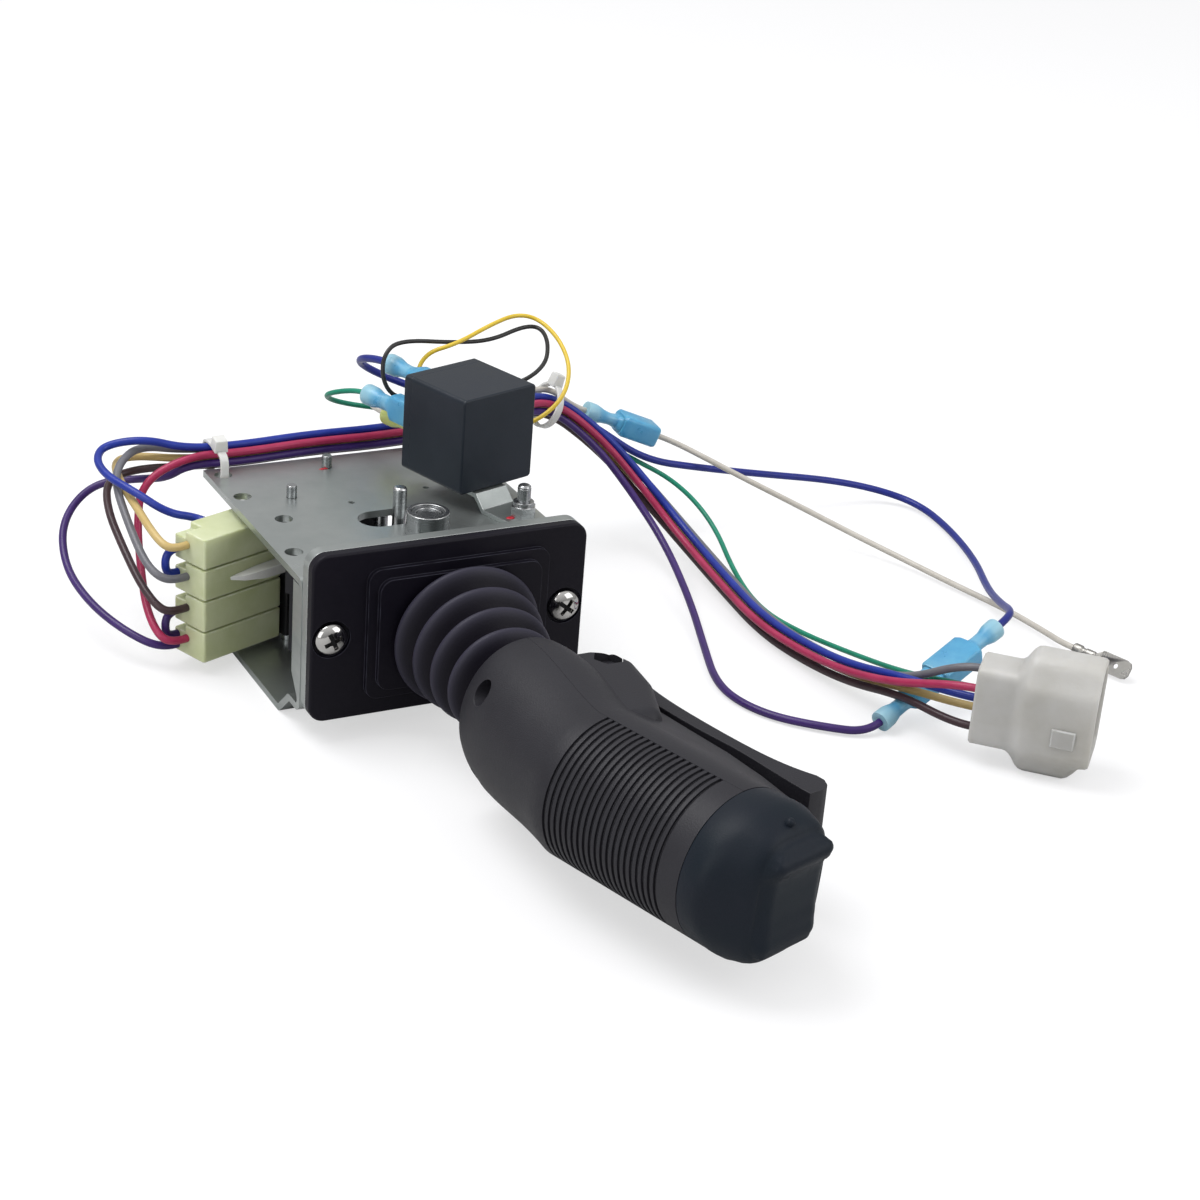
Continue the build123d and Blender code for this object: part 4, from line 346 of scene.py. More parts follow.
class Workshop:
    """Holds the materials and turns meshes and curves into pieces."""

    def __init__(self) -> None:
        """Builds the shader groups and every material."""
        groups = ShaderGroups()
        edge_wear_and_highlight = [finish.edge_wear_and_highlight() for finish in FINISHES if finish.edge is not None]
        self.materials = {finish.name: finish.material(groups) for finish in [*FINISHES, *edge_wear_and_highlight]}

    def dress(self, piece: bpy.types.Object, finish: str) -> None:
        """Gives a piece its finish, and its lighter edge finish to the faces of its bevel: partly wear,
        partly a painted edge highlight.
        """
        piece.data.materials.clear()
        piece.data.materials.append(self.materials[finish])
        bevel = piece.modifiers.get("bevel")
        if bevel and f"{finish}_edge" in self.materials:
            piece.data.materials.append(self.materials[f"{finish}_edge"])
            bevel.material = 1

    def _place(self, piece: bpy.types.Object, finish: str, body: Body,
               replaces: Sequence[str]) -> bpy.types.Object:
        """Gives a new piece its material, its body and the nodes that it stands for."""
        bpy.context.scene.collection.objects.link(piece)
        self.dress(piece, finish)
        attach(piece, body.value)
        if replaces:
            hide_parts(*replaces)
        LOG.info("%s rides on %s", piece.name, body.value)
        return piece

    def mesh(self, name: str, form: "Form", finish: str, body: Body, replaces: Sequence[str] = (),
             bevel: float = 0.0, angle: float = 32.0) -> bpy.types.Object:
        """Makes a mesh piece.

        Args:
            name: name of the piece.
            form: the mesh in millimetres.
            finish: name of its finish.
            body: body that it rides on.
            replaces: CAD nodes that it stands for.
            bevel: width of a bevel on its sharp edges, in millimetres.
            angle: angle in degrees above which an edge stays sharp.

        Returns:
            The piece.
        """
        data = bpy.data.meshes.new(name)
        data.from_pydata([point * MM for point in form.points], [], form.faces)
        data.validate()
        work = bmesh.new()
        work.from_mesh(data)
        bmesh.ops.recalc_face_normals(work, faces=work.faces)
        work.to_mesh(data)
        work.free()
        # Mesh attribute for the lighter colour: painted crest highlight on the bellows, lighter tint on the
        # terminals.
        if form.shares:
            attribute = data.attributes.new("flare", "FLOAT", "POINT")
            attribute.data.foreach_set("value", form.shares)
        for polygon in data.polygons:
            polygon.use_smooth = True
        piece = bpy.data.objects.new(name, data)
        if bevel:
            soften(piece, bevel)
        else:
            data.set_sharp_from_angle(angle=math.radians(angle))
        return self._place(piece, finish, body, replaces)

    def curve(self, name: str, route: Sequence[Vector], diameter: float, finish: str,
              replaces: Sequence[str] = ()) -> bpy.types.Object:
        """Makes a round wire as one smooth curve.

        Args:
            name: name of the piece.
            route: control points in millimetres.
            diameter: diameter in millimetres.
            finish: name of its finish.
            replaces: CAD nodes that it stands for.

        Returns:
            The wire, on the chassis.
        """
        data = bpy.data.curves.new(name, "CURVE")
        data.dimensions = "3D"
        data.bevel_depth = diameter / 2 * MM
        data.bevel_resolution = 5
        data.resolution_u = 10
        data.use_fill_caps = True
        spline = data.splines.new("NURBS")
        spline.points.add(len(route) - 1)
        for point, place in zip(spline.points, route):
            point.co = (*(place * MM), 1.0)
        spline.order_u = 3
        spline.use_endpoint_u = True
        spline.use_smooth = True
        return self._place(bpy.data.objects.new(name, data), finish, Body.CHASSIS, replaces)


def soften(piece: bpy.types.Object, width: float, segments: int = 2) -> None:
    """Adds rounded edges to a mesh.

    Args:
        piece: the mesh object.
        width: width of the rounding in millimetres.
        segments: steps across the rounding.
    """
    weld = piece.modifiers.new("weld", "WELD")
    weld.merge_threshold = 0.000002
    flat = piece.modifiers.new("flat", "DECIMATE")
    flat.decimate_type = "DISSOLVE"
    flat.angle_limit = math.radians(0.6)
    bevel = piece.modifiers.new("bevel", "BEVEL")
    bevel.width = width * MM
    bevel.segments = segments
    bevel.limit_method = "ANGLE"
    bevel.angle_limit = math.radians(35)
    bevel.miter_outer = "MITER_ARC"
    normals = piece.modifiers.new("normals", "WEIGHTED_NORMAL")
    normals.keep_sharp = True


@dataclass
class LocalFrame:
    """Upright frame turned about Z.

    Args:
        x: X of its origin in millimetres.
        y: Y of its origin in millimetres.
        turn: turn in degrees.
    """

    x: float
    y: float
    turn: float

    def at(self, u: float, v: float, z: float) -> Vector:
        """Point at u along, v across and z up."""
        c, s = math.cos(math.radians(self.turn)), math.sin(math.radians(self.turn))
        return Vector((self.x + u * c - v * s, self.y + u * s + v * c, z))

    def matrix(self, u: float, v: float, z: float) -> Matrix:
        """Placement of a local shape at u, v and z."""
        return Matrix.Translation(self.at(u, v, z)) @ Matrix.Rotation(math.radians(self.turn), 4, "Z")


def looking(origin: Vector, forward: Vector, up: Vector) -> Matrix:
    """Placement whose Z runs along forward and whose Y is as near to up as it can be.

    Args:
        origin: place of the origin.
        forward: direction of the local Z.
        up: rough direction of the local Y.

    Returns:
        The placement.
    """
    z = forward.normalized()
    x = up.cross(z).normalized()
    y = z.cross(x)
    turned = Matrix((x, y, z)).transposed().to_4x4()
    return Matrix.Translation(origin) @ turned


class Form:
    """Mesh in millimetres that is put together from lofts, tubes and blocks."""

    def __init__(self) -> None:
        """Starts empty."""
        self.points: list[Vector] = []
        self.faces: list[tuple[int, ...]] = []
        self.shares: list[float] = []

    def loft(self, rings: Sequence[Sequence[Vector]], place: Matrix | None = None, closed: bool = False,
             shares: Sequence[float] | None = None) -> "Form":
        """Joins rings of equal count.

        Args:
            rings: the rings, in order.
            place: placement of the whole loft.
            closed: joins the last ring to the first in place of end caps.
            shares: value on each ring of the attribute that mixes in a lighter colour: a painted highlight on
                the bellows' crests, a lighter tint on the terminals.

        Returns:
            The form itself.
        """
        place = place or Matrix.Identity(4)
        first, count = len(self.points), len(rings[0])
        for index, ring in enumerate(rings):
            self.points.extend(place @ point for point in ring)
            if shares is not None:
                self.shares.extend([shares[index]] * count)
        spans = len(rings) if closed else len(rings) - 1
        for ring in range(spans):
            low = first + ring * count
            high = first + (ring + 1) % len(rings) * count
            for step in range(count):
                after = (step + 1) % count
                self.faces.append((low + step, low + after, high + after, high + step))
        if not closed:
            self.faces.append(tuple(first + step for step in reversed(range(count))))
            self.faces.append(tuple(first + (len(rings) - 1) * count + step for step in range(count)))
        return self

    def tube(self, path: Sequence[Vector], radius: float, sides: int = 12) -> "Form":
        """Sweeps a circle along a path.

        Args:
            path: points of the middle line.
            radius: radius of the tube.
            sides: count of its sides.

        Returns:
            The form itself.
        """
        rings, normal = [], Vector((0.3, 0.2, 0.9))
        for index, point in enumerate(path):
            ahead = (path[min(index + 1, len(path) - 1)] - path[max(index - 1, 0)]).normalized()
            normal = (normal - ahead * normal.dot(ahead)).normalized()
            side = ahead.cross(normal)
            rings.append([
                point + (normal * math.cos(a) + side * math.sin(a)) * radius
                for a in (2 * math.pi * step / sides for step in range(sides))
            ])
        return self.loft(rings)

    def lathe(self, profile: Sequence[tuple[float, ...]], place: Matrix, sides: int = 48) -> "Form":
        """Turns a closed profile about the local Z.

        Args:
            profile: radius, height and optional share of the painted crest highlight of each point, in order
                round the section.
            place: placement of the local frame.
            sides: count of the steps round.

        Returns:
            The form itself.
        """
        rings = []
        for step in range(sides):
            a = 2 * math.pi * step / sides
            rings.append([Vector((p[0] * math.cos(a), p[0] * math.sin(a), p[1])) for p in profile])
            self.shares.extend(p[2] for p in profile if len(p) > 2)
        return self.loft(rings, place, closed=True)

    def block(self, size: Point, place: Matrix, taper: float = 1.0) -> "Form":
        """Adds a block with its foot at the local origin and an optional taper upwards."""
        x, y, z = size[0] / 2, size[1] / 2, size[2]
        low = [Vector((-x, -y, 0)), Vector((x, -y, 0)), Vector((x, y, 0)), Vector((-x, y, 0))]
        high = [Vector((p.x * taper, p.y * taper, z)) for p in low]
        return self.loft([low, high], place)


def rounded(half_x: float, half_y: float, power: float, count: int = 48) -> list[tuple[float, float]]:
    """Points of a superellipse, from an ellipse at power 2 to nearly a rectangle at 8."""
    places = []
    for step in range(count):
        a = 2 * math.pi * step / count
        c, s = math.cos(a), math.sin(a)
        places.append((
            half_x * math.copysign(abs(c) ** (2 / power), c),
            half_y * math.copysign(abs(s) ** (2 / power), s),
        ))
    return places


def stack(rows: Sequence[tuple[float, float, float, float]], count: int) -> list[list[Vector]]:
    """Rounded rings along Z. Each row has the ring's height, half width, half depth and power."""
    return [[Vector((x, y, z)) for x, y in rounded(a, b, power, count)] for z, a, b, power in rows]


def helix(centre: Vector, axis_x: Vector, axis_y: Vector, axis: Vector, radius: float, pitch: float,
          turns: float, start: float = 0.0) -> list[Vector]:
    """Points of a helix.

    Args:
        centre: middle of its first turn.
        axis_x: direction of angle zero.
        axis_y: direction of a quarter turn.
        axis: direction that it climbs along.
        radius: radius of its middle line.
        pitch: climb of each turn.
        turns: count of turns.
        start: first angle, in turns.

    Returns:
        The points, 28 for each turn.
    """
    each, path = 28, []
    for step in range(int(turns * each) + 1):
        turn = step / each
        a = 2 * math.pi * (start + turn)
        path.append(centre + (axis_x * math.cos(a) + axis_y * math.sin(a)) * radius + axis * pitch * turn)
    return path


UP = Vector((0, 0, 1))
SWITCHES = LocalFrame(-15.25, 71.85, 21.0)
RELAY = LocalFrame(29.0, 52.8, 17.0)
PLUG = LocalFrame(141.3, -71.7, -45.0)
PIVOT = Vector((0.0, 15.7, 0.0))
LEVER_Z = -4.5
RELAY_MID_Z = 37.05
BLADE_PITCH = 8.5
TERMINAL_SIDES = 32
HOUSING_START = 12.5


@dataclass
class Wire:
    """One wire of the harness: its route's control points are in millimetres."""

    name: str
    node: str
    diameter: float
    length: float
    far_end: FarEnd
    route: list[Vector]
    carries: list[str] = field(default_factory=list)


@dataclass
class Harness:
    """The wires from the switches and the relay, their bundle, ties, terminals and plug."""

    shop: Workshop
    wire_d: float = 2.5
    thin_d: float = 1.4
    green_d: float = 1.7
    white_d: float = 2.0
    plug_left: float = -47.5
    front_v: float = 1.0
    back_v: float = 5.4
    stack_bottom_z: float = -29.3
    switch_pitch: float = 10.3
    terminal_reach: float = 38.45
    pair_start: Vector = field(default_factory=lambda: Vector((122.4, -51.4, -30.0)))
    pair_end: Vector = field(default_factory=lambda: Vector((172.9, -36.3, -13.0)))
    splice_start: Vector = field(default_factory=lambda: Vector((104.5, 118.5, 10.0)))
    splice_end: Vector = field(default_factory=lambda: Vector((130.5, 115.5, -0.5)))
    tab_start: Vector = field(default_factory=lambda: Vector((212.0, -29.0, -29.6)))
    tab_axis: Vector = field(default_factory=lambda: Vector((0.3, -0.95, 0.0)).normalized())
    stations: list[Vector] = field(default_factory=lambda: [
        Vector(p) for p in (
            (-47.0, 96.4, 18.4), (-30.0, 95.6, 18.0), (-6.0, 96.8, 18.5), (18.0, 96.6, 18.1),
            (44.0, 98.0, 18.8), (66.0, 102.5, 19.4), (86.0, 112.0, 18.0), (104.0, 106.0, 4.0),
            (118.0, 99.0, -12.0), (126.0, 79.0, -25.0), (125.0, 49.0, -28.8), (121.5, 19.0, -29.0),
            (123.5, -4.0, -28.6), (126.0, -27.0, -25.8), (129.5, -50.0, -19.6),
        )
    ])

    def strand(self, first: int, last: int, near: float, up: float) -> list[Vector]:
        """Control points of one wire of the bundle, at its place across the bundle's section."""
        route, stations = [], self.stations
        for station in range(first, last + 1):
            before = stations[max(station - 1, 0)]
            after = stations[min(station + 1, len(stations) - 1)]
            side = (after - before).cross(UP).normalized()
            lift = side.cross(after - before).normalized()
            route.append(stations[station] + side * near + lift * up)
        return route

    def entry(self, layer: int, across: float, out: float = 0.0, rise: float = 0.8) -> Vector:
        """Wire entry on the end of a switch plug; layers count from the top."""
        z = self.stack_bottom_z + (4 - layer) * self.switch_pitch + 5.12 + rise
        return SWITCHES.at(self.plug_left - out, across, z)

    @staticmethod
    def blade(u: float, v: float, rise: float) -> Vector:
        """Point in the relay's frame, measured up from the relay's middle."""
        return RELAY.at(u, v, RELAY_MID_Z + rise)

    @staticmethod
    def plug_entry(near: float, z: float, out: float = 0.0) -> Vector:
        """Wire entry on the plug's wire side."""
        return PLUG.at(-out, -near, z)

    @staticmethod
    def free(*places: Point) -> list[Vector]:
        """Control points away from the bundle."""
        return [Vector(place) for place in places]

    def jumper(self, upper: int) -> list[Vector]:
        """Short link from one switch plug to the next one down."""
        back = self.back_v
        return [
            self.entry(upper, back, 0, -1.6), self.entry(upper, back, 2.4, -1.6),
            self.entry(upper, back, 4.7, -3.3), self.entry(upper + 1, back, 4.7, 2.5),
            self.entry(upper + 1, back, 2.4), self.entry(upper + 1, back),
        ]

    def wires(self) -> list[Wire]:
        """Routes of every free wire."""
        pair_axis = (self.pair_end - self.pair_start).normalized()
        splice_axis = (self.splice_end - self.splice_start).normalized()
        reach, blade_end, front = self.terminal_reach, 23.05, self.front_v
        tail = self.plug_entry
        return [
            Wire("wire_blue_long", "wire_blue", self.wire_d, 0.439, FarEnd.PLUG, [
                SWITCHES.at(-35.0, 7.0, 9.6), SWITCHES.at(-35.0, 11.5, 9.6),
                *self.free((-62.0, 68.0, 13.0), (-69.5, 76.5, 17.5), (-75.0, 88.0, 19.0), (-75.5, 97.0, 21.0),
                           (-71.0, 102.5, 23.0), (-59.5, 98.5, 25.2)),
                *self.strand(0, 14, 0.0, 3.0), tail(0.0, -15.0, 6), tail(0.0, -15.0),
            ], ["plug_body"]),
            Wire("wire_tan_long", "wire_tan", self.wire_d, 0.4394, FarEnd.PLUG, [
                self.entry(1, front), self.entry(1, front, 4),
                *self.free((-67.3, 54.8, 8.4), (-69.0, 62.0, 10.6), (-69.5, 75.0, 13.2), (-70.0, 88.0, 15.2),
                           (-68.8, 101.5, 17.3), (-61.0, 107.0, 16.6)),
                *self.strand(0, 14, -2.6, -1.5), tail(-4.0, -20.0, 6), tail(-4.0, -20.0),
            ], ["plug_body"]),
            Wire("wire_grey_long", "wire_grey", self.wire_d, 0.4437, FarEnd.PLUG, [
                self.entry(2, front), self.entry(2, front, 4.5),
                *self.free((-69.0, 54.6, -1.4), (-71.6, 61.0, 1.6), (-72.2, 74.0, 8.0), (-72.6, 87.0, 16.6),
                           (-68.2, 95.5, 20.0), (-59.5, 103.5, 21.0)),
                *self.strand(0, 14, -2.6, 1.5), tail(-4.0, -7.0, 6), tail(-4.0, -7.0),
            ], ["plug_body"]),
            Wire("wire_brown_long", "wire_brown", self.wire_d, 0.4507, FarEnd.PLUG, [
                self.entry(3, front), self.entry(3, front, 4.5),
                *self.free((-68.8, 54.4, -12.0), (-71.8, 63.0, -7.5), (-73.0, 77.0, -1.0), (-73.5, 92.0, 6.0),
                           (-70.0, 104.0, 10.8), (-59.0, 106.5, 12.2)),
                *self.strand(0, 14, 0.0, -3.0), tail(4.0, -22.5, 6), tail(4.0, -22.5),
            ], ["plug_body"]),
            Wire("wire_pink_long", "wire_pink", self.wire_d, 0.4392, FarEnd.PLUG, [
                self.entry(4, front), self.entry(4, front, 4.5),
                *self.free((-68.8, 54.8, -21.5), (-70.0, 64.0, -16.0), (-67.5, 77.0, -9.5),
                           (-65.0, 89.0, 1.0), (-62.0, 93.6, 13.0)),
                *self.strand(0, 14, 2.6, 1.5), tail(4.0, -10.0, 6), tail(4.0, -10.0),
            ], ["plug_body"]),
            Wire("wire_violet_long", "wire_violet", self.wire_d, 0.4651, FarEnd.CONNECTOR, [
                self.entry(4, self.back_v, 0, -2.7), self.entry(4, self.back_v, 6, -2.7),
                *self.free((-76.0, 66.0, -23.5), (-82.5, 82.0, -20.0), (-85.0, 100.0, -15.0),
                           (-82.0, 113.0, -5.0), (-71.0, 116.0, 5.0), (-58.0, 108.0, 8.0),
                           (-52.5, 98.0, 11.5)),
                *self.strand(0, 6, 2.6, -1.5),
                *self.free((101.0, 103.0, 3.6), (111.0, 95.0, -10.5), (115.0, 74.5, -22.5),
                           (109.1, 44.2, -30.0), (97.9, 13.3, -32.2), (90.4, -6.4, -32.1),
                           (89.6, -20.4, -32.1), (94.9, -34.0, -32.1), (106.0, -46.0, -31.6)),
                self.pair_start - pair_axis * 6, self.pair_start,
            ], ["branch_pair"]),
            Wire("wire_navy_long", "wire_navy", self.wire_d, 0.4119, FarEnd.CONNECTOR, [
                self.blade(0.0, reach, BLADE_PITCH), self.blade(0.0, reach + 5, BLADE_PITCH),
                *self.free((14.0, 106.5, 42.0), (19.0, 114.0, 36.0), (32.0, 114.5, 29.0),
                           (48.0, 108.5, 23.6)),
                *self.strand(5, 7, -5.2, 1.5),
                *self.free((123.5, 107.4, -6.4), (145.5, 106.7, -11.6), (172.2, 109.0, -18.0),
                           (202.9, 109.0, -24.0), (223.1, 105.4, -29.0), (233.4, 93.6, -31.5),
                           (231.9, 71.6, -32.1), (223.4, 43.9, -31.0), (205.9, 12.1, -26.0),
                           (193.0, -12.0, -18.5), (184.0, -29.0, -12.0)),
                self.pair_end + pair_axis * 5, self.pair_end,
            ], ["branch_pair"]),
            Wire("wire_green_long", "wire_green", self.green_d, 0.351, FarEnd.PLUG, [
                self.blade(-BLADE_PITCH, reach, 0.0), self.blade(-BLADE_PITCH, reach + 5, 0.0),
                *self.free((1.5, 104.0, 32.0), (7.0, 110.5, 26.5), (22.0, 112.0, 22.0), (44.0, 107.5, 19.6)),
                *self.strand(5, 6, -5.2, -1.5),
                *self.free((105.5, 114.5, 2.0), (119.0, 110.5, -6.0), (135.0, 103.5, -14.5),
                           (141.4, 87.0, -24.0), (134.9, 59.0, -31.0), (130.8, 34.4, -32.4),
                           (134.4, 15.1, -32.4), (138.0, -11.0, -28.6), (136.5, -41.0, -20.5)),
                tail(-4.0, -13.5, 9), tail(-4.0, -13.5),
            ], ["plug_body"]),
            Wire("wire_white_stub", "wire_white", self.white_d, 0.1084, FarEnd.CONNECTOR, [
                self.blade(0.0, reach, -BLADE_PITCH), self.blade(0.0, reach + 5, -BLADE_PITCH),
                *self.free((17.5, 104.5, 27.0), (24.0, 107.0, 25.0), (44.0, 104.5, 24.4)),
                *self.strand(5, 6, -2.8, 4.4), self.splice_start - splice_axis * 6, self.splice_start,
            ], ["splice_sleeve"]),
            Wire("wire_white_long", "wire_white", self.white_d, 0.1823, FarEnd.FITTING, [
                self.splice_end, self.splice_end + splice_axis * 7,
                *self.free((145.0, 104.5, -6.4), (157.5, 94.5, -12.6), (173.0, 83.5, -20.0),
                           (188.0, 69.0, -27.0), (198.5, 51.0, -30.6), (205.0, 29.0, -31.6),
                           (210.5, 6.0, -31.4), (211.5, -15.0, -30.6)),
                self.tab_start - self.tab_axis * 5, self.tab_start,
            ], ["bare_tab"]),
            Wire("wire_yellow_loop", "wire_yellow", self.thin_d, 0.1515, FarEnd.OBJECT, [
                self.blade(2.0, blade_end, 0.0), self.blade(2.2, blade_end + 5, 1.0),
                RELAY.at(5.2, 32.0, 41.6),
                *self.free((29.2, 88.2, 48.5), (38.4, 84.5, 52.0), (52.5, 90.5, 55.0), (64.2, 95.8, 56.0),
                           (71.5, 93.5, 54.6), (73.7, 81.4, 51.0), (72.5, 70.5, 45.0), (66.5, 63.0, 38.0),
                           (56.0, 62.5, 31.0), (47.5, 70.0, 28.0), (42.0, 76.5, 29.0)),
                self.blade(BLADE_PITCH, blade_end + 5, -2.0), self.blade(BLADE_PITCH, blade_end, -2.0),
            ]),
            Wire("wire_black_loop", "wire_black", self.thin_d, 0.1402, FarEnd.OBJECT, [
                self.blade(-2.0, blade_end, 0.0), self.blade(-2.2, blade_end + 5, 0.5),
                RELAY.at(-5.8, 30.5, 39.0), RELAY.at(-7.4, 33.0, 43.8), RELAY.at(-5.6, 35.0, 50.6),
                RELAY.at(1.0, 35.5, 54.2),
                *self.free((41.0, 89.5, 50.4), (53.0, 89.0, 50.4), (65.1, 92.0, 53.0), (71.0, 91.0, 52.6),
                           (69.7, 82.0, 50.5), (65.2, 74.0, 46.0), (56.0, 72.0, 41.5), (46.0, 76.0, 39.2)),
                self.blade(BLADE_PITCH, blade_end + 4, 2.0), self.blade(BLADE_PITCH, blade_end, 2.0),
            ]),
        ]

    def terminal(self, form: Form, place: Matrix, length: float, size: float = 1.0) -> Form:
        """Insulated push-on terminal: flared mouth, waist with a crimp, and a flat housing.

        Args:
            form: the form to add to.
            place: placement with the wire end at the origin and the housing along Z.
            length: length of the flat housing.
            size: size of the flat housing against the usual one.

        Returns:
            The form.
        """
        sections = [
            (0.0, 3.3, 3.3, 2.0, 1.0), (0.6, 3.4, 3.4, 2.0, 1.0), (3.6, 3.3, 3.3, 2.0, 0.8),
            (5.2, 2.9, 2.9, 2.0, 0.3), (6.6, 2.5, 2.45, 2.0, 0.1), (9.0, 2.5, 2.1, 2.2, 0.4),
            (10.4, 2.5, 2.1, 2.2, 0.4), (12.0, 2.6, 2.4, 2.4, 0.0), (13.0, 3.9 * size, 2.6 * size, 4.0, 0.0),
            (13.8, 4.25 * size, 2.68 * size, 6.0, 0.0),
            (HOUSING_START + length - 0.8, 4.25 * size, 2.68 * size, 6.0, 0.15),
            (HOUSING_START + length - 0.2, 4.0 * size, 2.45 * size, 6.0, 0.3),
        ]
        rings = stack([section[:-1] for section in sections], TERMINAL_SIDES)
        return form.loft(rings, place, shares=[section[-1] for section in sections])

    def terminals(self) -> None:
        """Relay terminals, the mated pair on the branch and the splice."""
        turn = math.radians(RELAY.turn)
        back = -Vector((-math.sin(turn), math.cos(turn), 0))
        side = Vector((math.cos(turn), math.sin(turn), 0))
        blue, yellow = Form(), Form()
        self.terminal(blue, looking(self.blade(0.0, self.terminal_reach, BLADE_PITCH), back, UP), 11.0)
        self.terminal(blue, looking(self.blade(-BLADE_PITCH, self.terminal_reach, 0.0), back, side), 11.0)
        self.terminal(yellow, looking(self.blade(0.0, self.terminal_reach, -BLADE_PITCH), back, UP), 11.0)
        self.shop.mesh("relay_terminals_blue", blue, "terminal_blue", Body.CHASSIS, ["relay_terminals"])
        self.shop.mesh("relay_terminal_lime", yellow, "terminal_yellow", Body.CHASSIS,
                       ["relay_terminal_yellow"])
        axis = self.pair_end - self.pair_start
        housing = axis.length / 2 - HOUSING_START
        pair = Form()
        self.terminal(pair, looking(self.pair_start, axis, UP), housing)
        self.terminal(pair, looking(self.pair_end, -axis, UP), housing + 2.0, 1.3)
        self.shop.mesh("branch_pair", pair, "terminal_blue", Body.CHASSIS, ["branch_terminals"])
        axis = self.splice_end - self.splice_start
        sleeve = self.terminal(Form(), looking(self.splice_start, axis, UP), 3.0)
        box = [(13.6, 4.8, 3.4, 4.0, 0.0), (14.6, 5.4, 3.9, 6.0, 0.0),
               (axis.length - 1.0, 5.4, 3.9, 6.0, 0.1), (axis.length - 0.2, 5.1, 3.6, 6.0, 0.35)]
        rings = stack([row[:-1] for row in box], TERMINAL_SIDES)
        sleeve.loft(rings, looking(self.splice_start, axis, UP), shares=[row[-1] for row in box])
        self.shop.mesh("splice_sleeve", sleeve, "terminal_blue", Body.CHASSIS, ["splice_terminals"])

    def bare_tab(self) -> None:
        """Tinned tab with its crimp wings and round hole."""
        place = looking(self.tab_start, self.tab_axis, Vector((-0.8, -0.25, 0.54)))
        form = Form()
        crimp = [(0.0, 1.7), (0.4, 1.9), (2.6, 1.9), (3.2, 1.45), (4.2, 1.35), (4.8, 1.7), (7.6, 1.7),
                 (8.2, 1.1)]
        form.loft(stack([(z, r, r * 0.9, 2.4) for z, r in crimp], 24), place)
        neck = [(7.4, 0.9, 0.5), (9.4, 2.2, 0.4), (10.2, 3.175, 0.4)]
        form.loft(stack([(z, a, b, 6) for z, a, b in neck], 16), place)
        outline = [(-3.175, 10.2), (3.175, 10.2), (3.175, 20.2), (2.2, 21.6), (-2.2, 21.6), (-3.175, 20.2)]
        hole = (0.0, 16.2, 0.9)
        count = 24
        for height in (-0.4, 0.4):
            ring_out, ring_in = [], []
            for step in range(count):
                a = 2 * math.pi * step / count
                ring_in.append(Vector((hole[0] + hole[2] * math.cos(a), height,
                                       hole[1] + hole[2] * math.sin(a))))
                ring_out.append(self.on_outline(outline, hole, a, height))
            base = len(form.points)
            form.points.extend(place @ p for p in ring_out + ring_in)
            for step in range(count):
                after = (step + 1) % count
                quad = (base + step, base + after, base + count + after, base + count + step)
                form.faces.append(quad if height > 0 else tuple(reversed(quad)))
        for shift in (0, count):
            low, high = len(form.points) - 4 * count + shift, len(form.points) - 2 * count + shift
            for step in range(count):
                after = (step + 1) % count
                quad = (low + step, low + after, high + after, high + step)
                form.faces.append(tuple(reversed(quad)) if shift else quad)
        self.shop.mesh("bare_tab", form, "tinned", Body.CHASSIS, ["tab_terminal"], bevel=0.12)

    @staticmethod
    def on_outline(outline: list[tuple[float, float]], hole: Point, angle: float, height: float) -> Vector:
        """Point of a convex outline seen from the hole's centre at an angle."""
        ray = (math.cos(angle), math.sin(angle))
        best = 1e9
        for (ax, az), (bx, bz) in zip(outline, outline[1:] + outline[:1]):
            ex, ez = bx - ax, bz - az
            cross = ray[0] * ez - ray[1] * ex
            if abs(cross) > 1e-9:
                t = ((ax - hole[0]) * ez - (az - hole[1]) * ex) / cross
                s = ((ax - hole[0]) * ray[1] - (az - hole[1]) * ray[0]) / cross
                if t > 0 and -1e-6 <= s <= 1 + 1e-6:
                    best = min(best, t)
        return Vector((hole[0] + ray[0] * best, height, hole[1] + ray[1] * best))

    def plug(self) -> None:
        """Milky plug: wire block, shroud with two lobes, latch ramp and cavity."""
        form = Form()
        place = looking(PLUG.at(0, 0, 0), PLUG.at(1, 0, 0) - PLUG.at(0, 0, 0), UP)
        middle, count = -14.6, 96

        def section(along: float, spread: float, lift: float, shrink: float = 0.0) -> list[Vector]:
            """Section that goes from the wire block to the shroud with its lobes."""
            ring = []
            for step in range(count):
                a = 2 * math.pi * (step + 0.5) / count
                c, s = math.cos(a), math.sin(a)
                block = ((abs(c) / 7.5) ** 9 + (abs(s) / 12.6) ** 9) ** (-1 / 9)
                body = ((abs(c) / 10.8) ** 6 + (abs(s) / 12.8) ** 6) ** (-1 / 6)
                lobe = ((abs(c) / 8.6) ** 3.4 + (abs(s) / 19.2) ** 3.4) ** (-1 / 3.4)
                share = lift if s < 0 else 1.0
                soft = body + ((body ** 9 + lobe ** 9) ** (1 / 9) - body) * share
                r = block + (soft - block) * spread - shrink
                ring.append(Vector((r * c, middle + r * s, along)))
            return ring

